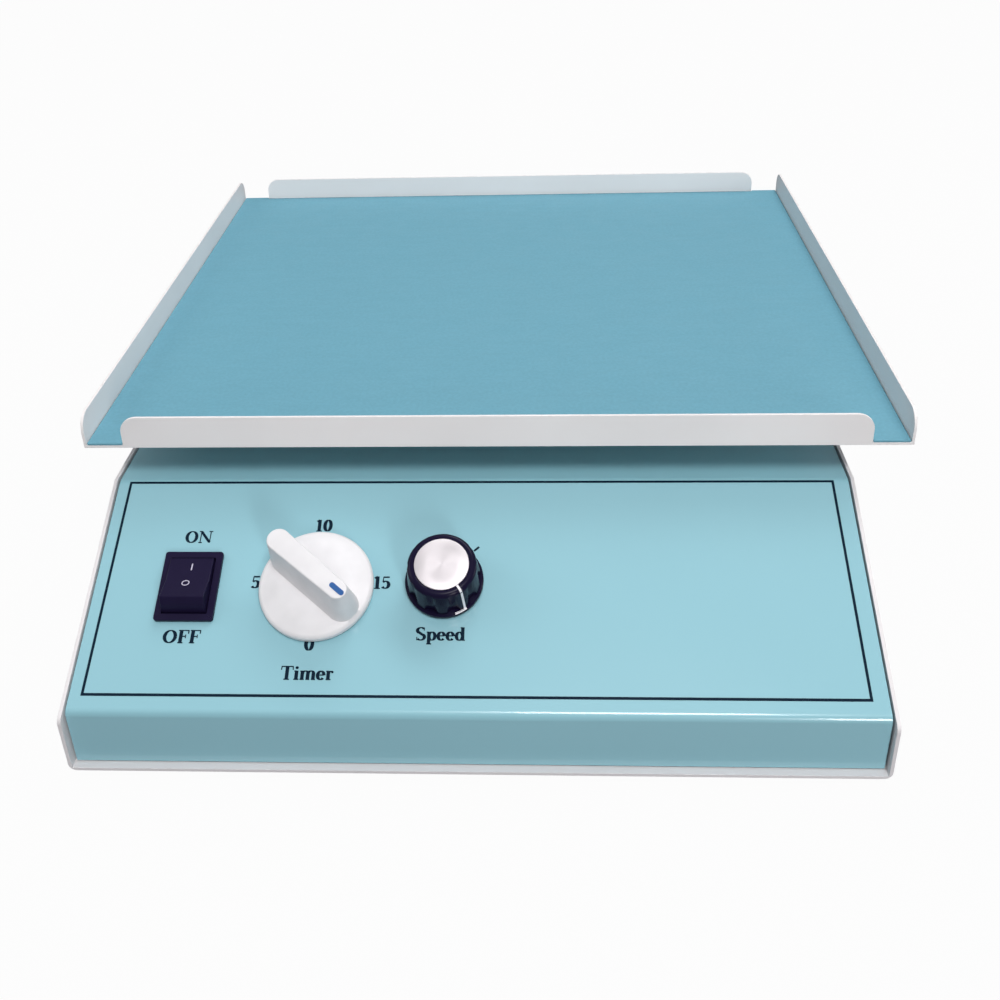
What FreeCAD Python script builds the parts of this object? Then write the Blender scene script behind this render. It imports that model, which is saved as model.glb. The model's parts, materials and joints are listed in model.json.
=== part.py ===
import FreeCAD, Part
import math
import os
import re
import Sketcher

# Bench platform rotator: a sheet metal case with a sloping control panel, and above it a carrying tray
# that travels round a small circle without turning, held by one driven crank and four idler cranks.
# Millimetres. +Z up, +Y to the back, +X to the operator's right. The origin is on the table, under the
# middle of the whole machine as it stands at rest, which is also the middle of the tray across.

SIZES = {
    # Case
    "body_width": 335.0,
    "body_depth": 400.0,
    "pan_sheet": 1.5,
    "pan_bend": 3.5,
    "pan_reach": 3.5,
    "plate_proud": 0.9,
    "cover_sheet": 1.2,
    "cover_gap": 0.9,
    "lip_lift": 0.6,
    "lip_height": 26.5,
    "panel_slope": 26.5,
    "panel_length": 106.6,
    "lip_bend": 2.6,
    "top_bend": 7.0,
    "flange_band": 20.0,
    "shaft_hole_clearance": 2.0,
    "vent_length": 34.0,
    "vent_width": 3.0,
    "vent_pitch": 7.0,
    "vent_count": 9.0,
    "vent_inset": 70.0,
    "vent_lift": 5.0,
    "cut_spare": 2.0,
    # Feet
    "foot_height": 6.0,
    "foot_radius": 9.0,
    "foot_tread_radius": 7.9,
    "foot_edge": 0.6,
    "foot_inset": 24.0,
    "foot_sink": 2.6,
    "foot_recess_clearance": 0.5,
    "foot_screw_spare": 4.5,
    # Small screws
    "screw_radius": 2.0,
    "screw_head_radius": 3.7,
    "screw_head_height": 2.3,
    "screw_head_crown": 0.9,
    "screw_head_top_radius": 2.6,
    "screw_hole_clearance": 0.15,
    "nut_height": 3.0,
    "case_screw_length": 9.0,
    "pillar_screw_bite": 14.0,
    # Deck that carries the drive
    "deck_sheet": 3.0,
    "deck_width": 280.0,
    "deck_depth": 232.0,
    "deck_corner": 10.0,
    "pillar_radius": 6.0,
    "pillar_height": 43.0,
    "pillar_spacing_x": 220.0,
    "pillar_spacing_y": 90.0,
    # Orbit
    "orbit_radius": 9.5,
    "orbit_phase": 46.0,
    "idler_spacing_x": 220.0,
    "idler_spacing_y": 180.0,
    # Crank stack between the case and the tray
    "tray_gap": 18.0,
    "disc_clearance": 1.8,
    "disc_thickness": 5.0,
    "disc_radius": 22.0,
    "idler_disc_radius": 17.0,
    "shaft_tail": 1.0,
    "pin_radius": 4.0,
    "pin_shoulder": 1.5,
    "pin_shoulder_radius": 6.0,
    "pin_tip": 0.6,
    "fit_clearance": 0.05,
    "running_gap": 0.1,
    "pin_bearing_radius": 11.0,
    "pin_bearing_width": 7.0,
    "clip_thickness": 0.8,
    "clip_radius": 6.2,
    "clip_clearance": 1.3,
    # Shafts, bearings and housings below
    "main_shaft_radius": 6.0,
    "idler_shaft_radius": 4.0,
    "main_bearing_radius": 14.0,
    "main_bearing_width": 8.0,
    "main_housing_radius": 18.0,
    "main_flange_radius": 27.0,
    "idler_housing_radius": 14.0,
    "idler_flange_radius": 19.0,
    "flange_thickness": 3.5,
    "housing_drop": 24.0,
    "housing_lip": 1.0,
    "bearing_recess": 0.5,
    "bearing_race": 1.6,
    # Belt drive
    "pulley_radius": 44.0,
    "pulley_lift": 3.0,
    "belt_width": 9.0,
    "belt_thickness": 1.8,
    "belt_clearance": 0.08,
    "belt_side_gap": 0.5,
    "motor_pulley_radius": 11.0,
    "rim_height": 2.0,
    "rim_thickness": 1.5,
    "window_radius": 7.3,
    "window_count": 5.0,
    "motor_setback": 86.0,
    "motor_radius": 29.0,
    "motor_length": 36.0,
    "motor_end_bevel": 3.0,
    "motor_screw_circle": 20.3,
    "motor_shaft_spare": 2.0,
    "motor_shaft_step": 1.0,
    "motor_shaft_radius": 3.0,
    "motor_boss_radius": 8.0,
    "weight_inner": 20.0,
    "weight_outer": 38.0,
    "weight_thickness": 6.0,
    "weight_angle": 150.0,
    # Tray
    "tray_width": 370.0,
    "tray_depth": 318.0,
    "tray_sheet": 1.2,
    "tray_flange": 13.3,
    "flange_inset": 18.0,
    "flange_round": 8.0,
    "mat_thickness": 1.3,
    "mat_gap": 0.3,
    "carriage_sheet": 3.0,
    "carriage_margin": 19.0,
    "carriage_corner": 15.2,
    "hub_wall": 3.0,
    "tray_screw_x": 132.0,
    "tray_screw_radius": 1.8,
    "tray_screw_sink": 0.05,
    # Rocker switch
    "switch_across": -123.3,
    "switch_up": 54.6,
    "bezel_width": 25.5,
    "bezel_length": 31.5,
    "bezel_height": 2.0,
    "bezel_round": 1.2,
    "switch_wall": 1.0,
    "switch_depth": 21.0,
    "rocker_width": 19.0,
    "rocker_clearance": 0.3,
    "rocker_radius": 12.4,
    "rocker_pivot_depth": 0.3,
    "rocker_end_angle": 34.0,
    "rocker_swing": 30.0,
    "rocker_dip": 1.6,
    "rocker_well_spare": 1.0,
    "terminal_pitch": 8.0,
    "terminal_length": 8.0,
    "terminal_width": 6.3,
    "terminal_sheet": 0.8,
    # Timer
    "timer_across": -67.9,
    "timer_up": 54.8,
    "timer_disc_radius": 24.6,
    "timer_disc_height": 4.3,
    "timer_disc_edge": 1.6,
    "timer_disc_crown": 0.5,
    "knob_lift": 0.8,
    "grip_height": 18.0,
    "grip_sink": 0.5,
    "grip_foot_back": 17.4,
    "grip_foot_front": 16.4,
    "grip_foot_radius": 7.0,
    "grip_top_back": 18.4,
    "grip_top_front": 16.8,
    "grip_back_radius": 4.9,
    "grip_front_radius": 4.0,
    "grip_edge": 0.7,
    "timer_boss_radius": 4.8,
    "timer_boss_rise": 10.0,
    "timer_socket_rise": 8.2,
    "timer_shaft_rise": 8.0,
    "timer_rest_turn": 39.5,
    "timer_body_width": 44.0,
    "timer_body_depth": 32.0,
    "timer_body_corner": 4.0,
    "timer_bore_depth": 19.2,
    "timer_shaft_depth": 17.6,
    "timer_shaft_radius": 3.0,
    "timer_screw_spacing": 28.0,
    "timer_screw_radius": 1.5,
    "timer_screw_head_radius": 2.8,
    "timer_screw_head_height": 0.5,
    "timer_screw_bite": 4.0,
    "timer_screw_hole_spare": 1.0,
    "timer_terminal_spread": 7.0,
    "timer_terminal_length": 5.6,
    "pointer_start": 12.9,
    "pointer_length": 7.0,
    "pointer_width": 2.2,
    "pointer_height": 0.3,
    # Speed control
    "speed_across": -13.1,
    "speed_up": 57.3,
    "speed_skirt_radius": 16.8,
    "speed_neck_radius": 15.8,
    "speed_top_radius": 14.5,
    "speed_shoulder": 2.2,
    "speed_cap_radius": 11.5,
    "speed_cap_crown": 0.4,
    "speed_cap_bevel": 0.3,
    "speed_knob_height": 17.6,
    "speed_skirt_height": 2.8,
    "speed_skirt_bevel": 0.6,
    "speed_cap_thickness": 1.2,
    "speed_socket_depth": 3.8,
    "speed_well_height": 5.0,
    "speed_well_clearance": 1.0,
    "flute_radius": 4.2,
    "flute_depth": 1.5,
    "flute_count": 10.0,
    "pot_body_radius": 12.0,
    "pot_body_depth": 10.0,
    "pot_bush_radius": 4.5,
    "pot_bush_spare": 0.8,
    "pot_gap": 0.1,
    "pot_shaft_radius": 3.0,
    "pot_shaft_floor": 2.0,
    "pot_shaft_drop": 4.0,
    "pot_nut_radius": 7.0,
    "pot_nut_height": 2.0,
    # Control board
    "board_width": 110.0,
    "board_depth": 62.0,
    "board_sheet": 1.6,
    "board_across": 92.0,
    "board_back": 72.0,
    "standoff_height": 8.0,
    "standoff_radius": 3.0,
    "board_margin": 5.0,
    "transformer_width": 34.0,
    "transformer_depth": 28.0,
    "transformer_height": 24.0,
    "transformer_corner": 2.0,
    "transformer_across": -28.0,
    "transformer_back": 8.0,
    "sink_length": 28.0,
    "sink_base": 3.0,
    "sink_height": 20.0,
    "sink_across": 14.0,
    "sink_back": 8.0,
    "fin_sheet": 1.6,
    "fin_pitch": 6.0,
    "fin_count": 5.0,
    "capacitor_radius": 7.0,
    "capacitor_height": 18.0,
    "capacitor_bevel": 0.9,
    "capacitor_across": 42.0,
    "capacitor_back": 6.0,
    # Mains inlet
    "inlet_across": 110.0,
    "inlet_height": 40.0,
    "inlet_flange_width": 50.0,
    "inlet_flange_height": 23.5,
    "inlet_flange_sheet": 3.0,
    "inlet_flange_corner": 5.0,
    "inlet_body_width": 27.0,
    "inlet_body_height": 19.8,
    "inlet_depth": 22.0,
    "socket_width": 24.2,
    "socket_height": 16.4,
    "socket_depth": 18.0,
    "inlet_screw_spacing": 40.0,
    "inlet_screw_bite": 5.0,
    "pin_blade_width": 2.0,
    "pin_blade_height": 4.0,
    "pin_blade_length": 14.0,
    "pin_blade_spread": 7.0,
    "pin_blade_offset": 2.0,
    "panel_fit": 0.25,
    # Earth stud beside the inlet
    "stud_head_radius": 5.0,
    "stud_head_height": 3.0,
    "stud_radius": 2.0,
    "stud_height": 12.0,
    "stud_across": 70.0,
    "stud_inset": 30.0,
}

# Formulas that the pieces share, in the same words as the sizes.
FORMULAS = {
    "base_x": "-orbit_radius*cos(orbit_phase)",
    "panel_run": "panel_length*cos(panel_slope)",
    "panel_rise": "panel_length*sin(panel_slope)",
    "drive_setback": "(panel_run + body_depth)/2",
    "front_y": "(pan_reach - drive_setback - orbit_radius*sin(orbit_phase) - tray_depth/2)/2",
    "rear_y": "front_y + body_depth",
    "drive_y": "front_y + drive_setback",
    "tray_y": "drive_y + orbit_radius*sin(orbit_phase)",
    "pan_top": "foot_height + pan_sheet",
    "lip_bottom": "pan_top + lip_lift",
    "bend_z": "lip_bottom + lip_height",
    "top_z": "bend_z + panel_rise",
    "cover_width": "body_width - 2*(pan_sheet + cover_gap)",
    "deck_bottom": "pan_top + pillar_height",
    "deck_top": "deck_bottom + deck_sheet",
    "disc_bottom": "top_z + disc_clearance",
    "disc_top": "disc_bottom + disc_thickness",
    "pin_bearing_bottom": "disc_top + pin_shoulder + running_gap",
    "pin_bearing_top": "pin_bearing_bottom + pin_bearing_width",
    "tray_bottom": "top_z + tray_gap",
    "tray_top": "tray_bottom + tray_sheet",
    "carriage_bottom": "tray_bottom - carriage_sheet",
    "mat_top": "tray_top + mat_thickness",
    "flange_top": "mat_top + tray_flange",
    "pulley_bottom": "deck_top + flange_thickness + pulley_lift",
    "pulley_top": "pulley_bottom + belt_width + 2*rim_thickness",
    "belt_bottom": "pulley_bottom + rim_thickness",
    "motor_x": "base_x - motor_setback",
    "inner_front": "tan((90 - panel_slope)/2)",
    "inner_top": "tan(panel_slope/2)",
    "hub_radius": "pin_bearing_radius + hub_wall",
    "tray_screw_y": "idler_spacing_y + carriage_margin/2",
    "half_board_x": "board_width/2 - board_margin",
    "half_board_y": "board_depth/2 - board_margin",
    "board_top": "pan_top + standoff_height + board_sheet",
    "sink_width": "fin_pitch*(fin_count - 1) + fin_sheet",
    "movement_top": "cover_sheet + panel_fit",
    "pot_seat": "cover_sheet + pot_gap",
}

PANEL_AXIS = FreeCAD.Vector(1, 0, 0)

doc = FreeCAD.newDocument("PlatformRotator")
sheet = doc.addObject("Spreadsheet::Sheet", "Sizes")
for row, (name, number) in enumerate(SIZES.items(), start=1):
    sheet.set("A%d" % row, name)
    sheet.set("B%d" % row, str(number))
    sheet.setAlias("B%d" % row, name)
doc.recompute()

NODES = []


def bind(text):
    """Turn words for sizes and formulas into an expression on the sheet."""
    def swap(match):
        word = match.group()
        if word in FORMULAS:
            return "(" + bind(FORMULAS[word]) + ")"
        if word in SIZES:
            return "Sizes." + word
        return word
    return re.sub(r"[a-z][a-z0-9_]*", swap, str(text))


def value(text):
    return float(sheet.evalExpression(bind(text)))


def new_body(label):
    body = doc.addObject("PartDesign::Body", label)
    body.Label = label
    NODES.append(body)
    return body


def place(thing, x="0", y="0", z="0", tilt=None, axis=PANEL_AXIS):
    """Stand a sub-part at a point, tilted about an axis where a tilt is given."""
    if tilt is not None:
        thing.Placement = FreeCAD.Placement(FreeCAD.Vector(), FreeCAD.Rotation(axis, value(tilt)))
        thing.setExpression("Placement.Rotation.Angle", bind(tilt))
    thing.setExpression("Placement.Base.x", bind(x))
    thing.setExpression("Placement.Base.y", bind(y))
    thing.setExpression("Placement.Base.z", bind(z))


def on_panel(thing, across, up):
    """Stand a sub-part on the outer face of the sloping panel."""
    place(thing, f"base_x + {across}", f"front_y + {up}*cos(panel_slope)",
          f"bend_z + {up}*sin(panel_slope)", "panel_slope")


def origin_part(body, role):
    return [part for part in body.Origin.OriginFeatures if part.Role == role][0]


def new_sketch(body, plane, offset="0", turn=None):
    """A sketch on an origin plane, moved along its normal and turned clockwise on it."""
    sketch = body.newObject("Sketcher::SketchObject", body.Label + "_sketch")
    sketch.AttachmentSupport = [(origin_part(body, plane + "_Plane"), "")]
    sketch.MapMode = "FlatFace"
    if turn is not None:
        clockwise = FreeCAD.Rotation(FreeCAD.Vector(0, 0, -1), value(turn))
        sketch.AttachmentOffset = FreeCAD.Placement(FreeCAD.Vector(), clockwise)
        sketch.setExpression("AttachmentOffset.Rotation.Angle", bind(turn))
    sketch.setExpression("AttachmentOffset.Base.z", bind(offset))
    return sketch


def tie(sketch, kind, *rest):
    """Add a constraint whose last argument is its expression."""
    index = sketch.addConstraint(Sketcher.Constraint(kind, *rest[:-1], value(rest[-1])))
    sketch.setExpression("Constraints[%d]" % index, bind(rest[-1]))


def draw_outline(sketch, points):
    """Draw a closed run of straight lines through points given as pairs of expressions."""
    start = sketch.GeometryCount
    count = len(points)
    spots = [FreeCAD.Vector(value(x), value(y), 0) for x, y in points]
    for index in range(count):
        sketch.addGeometry(Part.LineSegment(spots[index], spots[(index + 1) % count]), False)
    for index in range(count):
        following = start + (index + 1) % count
        sketch.addConstraint(Sketcher.Constraint("Coincident", start + index, 2, following, 1))
    for index, (x, y) in enumerate(points):
        tie(sketch, "DistanceX", -1, 1, start + index, 1, x)
        tie(sketch, "DistanceY", -1, 1, start + index, 1, y)


def draw_box(sketch, x, y, width, depth):
    """Draw a rectangle about its centre."""
    low_x, high_x = f"{x} - ({width})/2", f"{x} + ({width})/2"
    low_y, high_y = f"{y} - ({depth})/2", f"{y} + ({depth})/2"
    draw_outline(sketch, [(low_x, low_y), (high_x, low_y), (high_x, high_y), (low_x, high_y)])


def draw_circle(sketch, x, y, radius):
    index = sketch.GeometryCount
    centre = FreeCAD.Vector(value(x), value(y), 0)
    sketch.addGeometry(Part.Circle(centre, FreeCAD.Vector(0, 0, 1), value(radius)), False)
    tie(sketch, "DistanceX", -1, 1, index, 3, x)
    tie(sketch, "DistanceY", -1, 1, index, 3, y)
    tie(sketch, "Radius", index, radius)


def draw_slot(sketch, back, front, back_radius, front_radius):
    """Draw two round ends on the sketch's X axis, joined by the lines that touch both."""
    lean = math.asin(value(f"({back_radius} - {front_radius})/({back} + {front})"))
    quarter = math.pi / 2
    start = sketch.GeometryCount
    turns = [(quarter - lean, 3 * quarter + lean), (lean - quarter, quarter - lean)]
    corners = []
    for spot, radius, (first, last) in zip((f"0 - {back}", front), (back_radius, front_radius), turns):
        centre = FreeCAD.Vector(value(spot), 0, 0)
        arc = Part.ArcOfCircle(Part.Circle(centre, FreeCAD.Vector(0, 0, 1), value(radius)), first, last)
        index = sketch.addGeometry(arc, False)
        tie(sketch, "DistanceX", -1, 1, index, 3, spot)
        tie(sketch, "DistanceY", -1, 1, index, 3, "0")
        tie(sketch, "Radius", index, radius)
        corners += [arc.StartPoint, arc.EndPoint]
    sketch.addGeometry(Part.LineSegment(corners[1], corners[2]), False)
    sketch.addGeometry(Part.LineSegment(corners[3], corners[0]), False)
    for first, following in ((start, start + 2), (start + 2, start + 1), (start + 1, start + 3),
                             (start + 3, start)):
        sketch.addConstraint(Sketcher.Constraint("Tangent", first, 2, following, 1))


def pad(body, sketch, length, back=False, middle=False):
    feature = body.newObject("PartDesign::Pad", body.Label + "_pad")
    feature.Profile = sketch
    feature.setExpression("Length", bind(length))
    feature.Reversed = back
    feature.Midplane = middle
    return feature


def pocket(body, sketch, length=None, back=False, middle=False):
    """Cut the sketch away, through everything where no length is given."""
    feature = body.newObject("PartDesign::Pocket", body.Label + "_pocket")
    feature.Profile = sketch
    if length is None:
        feature.Type = "ThroughAll"
    else:
        feature.setExpression("Length", bind(length))
    feature.Reversed = back
    feature.Midplane = middle
    return feature


def revolve(body, points, angle="360"):
    """Turn a half profile of radius and height about the body's upright axis."""
    sketch = new_sketch(body, "XZ")
    draw_outline(sketch, points)
    feature = body.newObject("PartDesign::Revolution", body.Label + "_revolution")
    feature.Profile = sketch
    feature.ReferenceAxis = (sketch, ["V_Axis"])
    feature.setExpression("Angle", bind(angle))
    return feature


def repeat(body, features, spacing_x, spacing_y=None, count_x="2", count_y="2"):
    """Repeat features along X, and along Y too where a second spacing is given."""
    pattern = body.newObject("PartDesign::LinearPattern", body.Label + "_pattern")
    pattern.Originals = features
    pattern.Direction = (origin_part(body, "X_Axis"), [""])
    pattern.setExpression("Length", bind(f"({spacing_x})*(({count_x}) - 1)"))
    pattern.setExpression("Occurrences", bind(count_x))
    if spacing_y is not None:
        pattern.Direction2 = (origin_part(body, "Y_Axis"), [""])
        pattern.setExpression("Length2", bind(f"({spacing_y})*(({count_y}) - 1)"))
        pattern.setExpression("Occurrences2", bind(count_y))
    body.Tip = pattern


def circle_of(body, features, count):
    pattern = body.newObject("PartDesign::PolarPattern", body.Label + "_pattern")
    pattern.Originals = features
    pattern.Axis = (origin_part(body, "Z_Axis"), [""])
    pattern.Angle = 360
    pattern.setExpression("Occurrences", bind(count))
    body.Tip = pattern


def mirror(body, features, plane="YZ"):
    copy = body.newObject("PartDesign::Mirrored", body.Label + "_mirror")
    copy.Originals = features
    copy.MirrorPlane = (origin_part(body, plane + "_Plane"), [""])
    body.Tip = copy


def round_edges(body, base, radius, chosen):
    """Round the edges of a feature whose ends pass the test."""
    doc.recompute()
    names = []
    for number, edge in enumerate(base.Shape.Edges, start=1):
        ends = [vertex.Point for vertex in edge.Vertexes]
        if ends and chosen(ends[0], ends[-1]):
            names.append("Edge%d" % number)
    feature = body.newObject("PartDesign::Fillet", body.Label + "_round")
    feature.Base = (base, names)
    feature.setExpression("Radius", bind(radius))
    return feature


def near(number, text):
    return abs(number - value(text)) < 0.01


def along_x(y, z):
    """Test for an edge that runs along X through one point of a side view."""
    def chosen(first, second):
        same = abs(first.y - second.y) < 0.01 and abs(first.z - second.z) < 0.01
        return same and near(first.y, y) and near(first.z, z)
    return chosen


def upright(first, second):
    return abs(first.x - second.x) < 0.01 and abs(first.y - second.y) < 0.01


def turned(label, points, x="base_x", y="drive_y", z="0"):
    body = new_body(label)
    revolve(body, points)
    place(body, x, y, z)
    return body


def screws(label, head_z, length, spacing_x, spacing_y, x, y, upside_down=False):
    """Four pan head screws at the corners of a rectangle, heads at the given height."""
    body = new_body(label)
    sign = "-1" if upside_down else "1"
    low = f"({sign})*(0 - ({length}))"
    edge = f"({sign})*(screw_head_height - screw_head_crown)"
    high = f"({sign})*screw_head_height"
    turn = revolve(body, [("0", low), ("screw_radius", low), ("screw_radius", "0"),
                          ("screw_head_radius", "0"), ("screw_head_radius", edge),
                          ("screw_head_top_radius", high), ("0", high)])
    repeat(body, [turn], spacing_x, spacing_y)
    place(body, f"{x} - ({spacing_x})/2", f"{y} - ({spacing_y})/2", head_z)


SIDE_OUTLINE = [("0", "lip_bottom"), ("0", "bend_z"), ("panel_run", "top_z"),
                ("body_depth", "top_z"), ("body_depth", "lip_bottom")]


def inside_outline(depth):
    """The case's side outline moved inwards by a depth, from lip foot to rear foot."""
    return [(f"{depth}", "lip_bottom"),
            (f"{depth}", f"bend_z - ({depth})*inner_front"),
            (f"panel_run + ({depth})*inner_top", f"top_z - ({depth})"),
            (f"body_depth - ({depth})", f"top_z - ({depth})"),
            (f"body_depth - ({depth})", "lip_bottom")]


CASE_SCREWS = [("flange_band/2", "lip_bottom + lip_height/2"),
               ("panel_run + flange_band", "top_z - flange_band/2"),
               ("body_depth - flange_band/2", "lip_bottom + lip_height/2")]


def make_chassis_pan():
    """Bottom sheet and two side plates bent up, standing just proud of the cover."""
    body = new_body("chassis_pan")
    floor = new_sketch(body, "XY", "foot_height")
    draw_box(floor, "0", "(body_depth - pan_reach)/2", "body_width", "body_depth + pan_reach")
    pad(body, floor, "pan_sheet")
    reach, proud = "pan_reach", "plate_proud"
    outline = [(f"-{reach}", "foot_height"),
               (f"-{reach}", f"bend_z + {proud} - {reach}*inner_front"),
               (f"panel_run - {proud}*inner_top", f"top_z + {proud}"),
               ("body_depth", f"top_z + {proud}"), ("body_depth", "foot_height")]
    side = new_sketch(body, "YZ", "body_width/2 - pan_sheet")
    draw_outline(side, outline)
    plate = pad(body, side, "pan_sheet")
    mirror(body, [plate])
    doc.recompute()

    def side_corner(first, second):
        across = abs(abs(first.x - second.x) - value("pan_sheet")) < 0.01
        front = near(first.y, f"-{reach}") and first.z > value("lip_bottom")
        return across and front and abs(first.z - second.z) < 0.01
    corners = round_edges(body, body.Tip, "pan_reach", side_corner)

    def outer_bend(first, second):
        along = abs(first.x - second.x) < 0.01 and abs(first.y - second.y) > value("body_depth") / 2
        return along and near(abs(first.x), "body_width/2") and near(first.z, "foot_height")
    bends = round_edges(body, corners, "pan_bend", outer_bend)

    holes = new_sketch(body, "XY", "foot_height")
    foot_x, foot_y = "body_width/2 - foot_inset", "foot_inset"
    hole = "screw_radius + screw_hole_clearance"
    for across in (f"-({foot_x})", foot_x):
        for back in (foot_y, f"body_depth - ({foot_y})"):
            draw_circle(holes, across, back, hole)
    for across in ("-pillar_spacing_x/2", "pillar_spacing_x/2"):
        for back in ("drive_setback - pillar_spacing_y/2", "drive_setback + pillar_spacing_y/2"):
            draw_circle(holes, across, back, hole)
    pocket(body, holes, middle=True)
    screw_holes = new_sketch(body, "YZ")
    for back, height in CASE_SCREWS:
        draw_circle(screw_holes, back, height, hole)
    pocket(body, screw_holes, middle=True)
    vents = new_sketch(body, "XY", "foot_height")
    draw_box(vents, "-vent_pitch*(vent_count - 1)/2", "body_depth - vent_inset", "vent_width", "vent_length")
    slot = pocket(body, vents, middle=True)
    repeat(body, [slot], "vent_pitch", None, "vent_count")
    place(body, "base_x", "front_y")


def make_top_cover():
    """Lip, sloping panel, top and back in one bent sheet, with turned-down side flanges."""
    body = new_body("top_cover")
    profile = new_sketch(body, "YZ")
    draw_outline(profile, SIDE_OUTLINE + inside_outline("cover_sheet")[::-1])
    skin = pad(body, profile, "cover_width", middle=True)
    skin = round_edges(body, skin, "lip_bend + cover_sheet", along_x("0", "bend_z"))
    inner = inside_outline("cover_sheet")
    skin = round_edges(body, skin, "lip_bend", along_x(*inner[1]))
    skin = round_edges(body, skin, "top_bend + cover_sheet", along_x("panel_run", "top_z"))
    skin = round_edges(body, skin, "top_bend", along_x(*inner[2]))
    skin = round_edges(body, skin, "lip_bend + cover_sheet", along_x("body_depth", "top_z"))
    skin = round_edges(body, skin, "lip_bend", along_x(*inner[3]))
    band = new_sketch(body, "YZ", "cover_width/2 - cover_sheet")
    seat = inside_outline("cover_sheet/2")
    draw_outline(band, seat + inside_outline("flange_band")[::-1])
    flange = pad(body, band, "cover_sheet")
    mirror(body, [flange])
    screw_holes = new_sketch(body, "YZ")
    for back, height in CASE_SCREWS:
        draw_circle(screw_holes, back, height, "screw_radius + screw_hole_clearance")
    pocket(body, screw_holes, middle=True)
    shafts = new_sketch(body, "XY", "top_z - cover_sheet - cut_spare")
    draw_circle(shafts, "0", "drive_setback", "main_shaft_radius + shaft_hole_clearance")
    for across in ("-idler_spacing_x/2", "idler_spacing_x/2"):
        for back in ("drive_setback - idler_spacing_y/2", "drive_setback + idler_spacing_y/2"):
            draw_circle(shafts, across, back, "idler_shaft_radius + shaft_hole_clearance")
    pocket(body, shafts, "cover_sheet + 2*cut_spare", back=True)
    rear = new_sketch(body, "XZ", "-body_depth")
    draw_box(rear, "inlet_across", "inlet_height",
             "inlet_body_width + 2*panel_fit", "inlet_body_height + 2*panel_fit")
    for side in ("-", "+"):
        draw_circle(rear, f"inlet_across {side} inlet_screw_spacing/2", "inlet_height",
                    "screw_radius + screw_hole_clearance")
    pocket(body, rear, "2*cover_sheet + cut_spare", middle=True)
    vents = new_sketch(body, "XZ", "-body_depth")
    draw_box(vents, "-inlet_across/2 - vent_pitch*(vent_count - 1)/2", "inlet_height + vent_lift",
             "vent_width", "vent_length")
    slot = pocket(body, vents, "2*cover_sheet + cut_spare", middle=True)
    repeat(body, [slot], "vent_pitch", None, "vent_count")
    place(body, "base_x", "front_y")
    doc.recompute()
    return body


def cut_panel(cover):
    """Cut the switch, timer and speed openings square to the sloping panel."""
    sketch = cover.newObject("Sketcher::SketchObject", "panel_openings")
    sketch.AttachmentSupport = [(origin_part(cover, "XY_Plane"), "")]
    sketch.MapMode = "FlatFace"
    sketch.AttachmentOffset = FreeCAD.Placement(
        FreeCAD.Vector(), FreeCAD.Rotation(PANEL_AXIS, value("panel_slope")))
    sketch.setExpression("AttachmentOffset.Base.z", bind("bend_z"))
    sketch.setExpression("AttachmentOffset.Rotation.Angle", bind("panel_slope"))
    draw_box(sketch, "switch_across", "switch_up",
             "rocker_width + 2*(rocker_clearance + switch_wall + panel_fit)",
             "2*(rocker_radius + rocker_clearance + switch_wall + panel_fit)")
    draw_circle(sketch, "timer_across", "timer_up", "timer_shaft_radius + shaft_hole_clearance")
    for side in ("-", "+"):
        draw_circle(sketch, f"timer_across {side} timer_screw_spacing/2", "timer_up",
                    "timer_screw_radius + screw_hole_clearance")
    draw_circle(sketch, "speed_across", "speed_up", "pot_bush_radius + screw_hole_clearance")
    pocket(cover, sketch, "2*cover_sheet + cut_spare", middle=True)


def make_cover_screws():
    """Six pan head screws, three through each side plate into the cover's flange."""
    body = new_body("cover_screws")
    head = new_sketch(body, "YZ", "body_width/2")
    shank = new_sketch(body, "YZ", "body_width/2 - case_screw_length")
    for back, height in CASE_SCREWS:
        draw_circle(head, back, height, "screw_head_radius")
        draw_circle(shank, back, height, "screw_radius")
    heads = pad(body, head, "screw_head_height")
    shanks = pad(body, shank, "case_screw_length")
    mirror(body, [heads, shanks])
    place(body, "base_x", "front_y")


def make_feet():
    """Four rubber feet with a recess for the screw head, and their screws with nuts."""
    feet = new_body("rubber_feet")
    recess = "screw_head_radius + foot_recess_clearance"
    spacing_x, spacing_y = "body_width - 2*foot_inset", "body_depth - 2*foot_inset"
    hole = "screw_radius + screw_hole_clearance"
    foot = revolve(feet, [(hole, "foot_height"), ("foot_radius", "foot_height"),
                          ("foot_tread_radius", "foot_edge"), ("foot_tread_radius - foot_edge", "0"),
                          (recess, "0"), (recess, "foot_sink"), (hole, "foot_sink")])
    repeat(feet, [foot], spacing_x, spacing_y)
    middle_y = "front_y + body_depth/2"
    place(feet, f"base_x - ({spacing_x})/2", f"{middle_y} - ({spacing_y})/2")
    screws("foot_screws", "foot_sink", "foot_height - foot_sink + pan_sheet + foot_screw_spare",
           spacing_x, spacing_y, "base_x", middle_y, True)
    nuts = new_body("foot_nuts")
    nut = revolve(nuts, [(hole, "0"), ("screw_head_radius", "0"),
                         ("screw_head_radius", "nut_height"), (hole, "nut_height")])
    repeat(nuts, [nut], spacing_x, spacing_y)
    place(nuts, f"base_x - ({spacing_x})/2", f"{middle_y} - ({spacing_y})/2", "pan_top")


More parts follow.
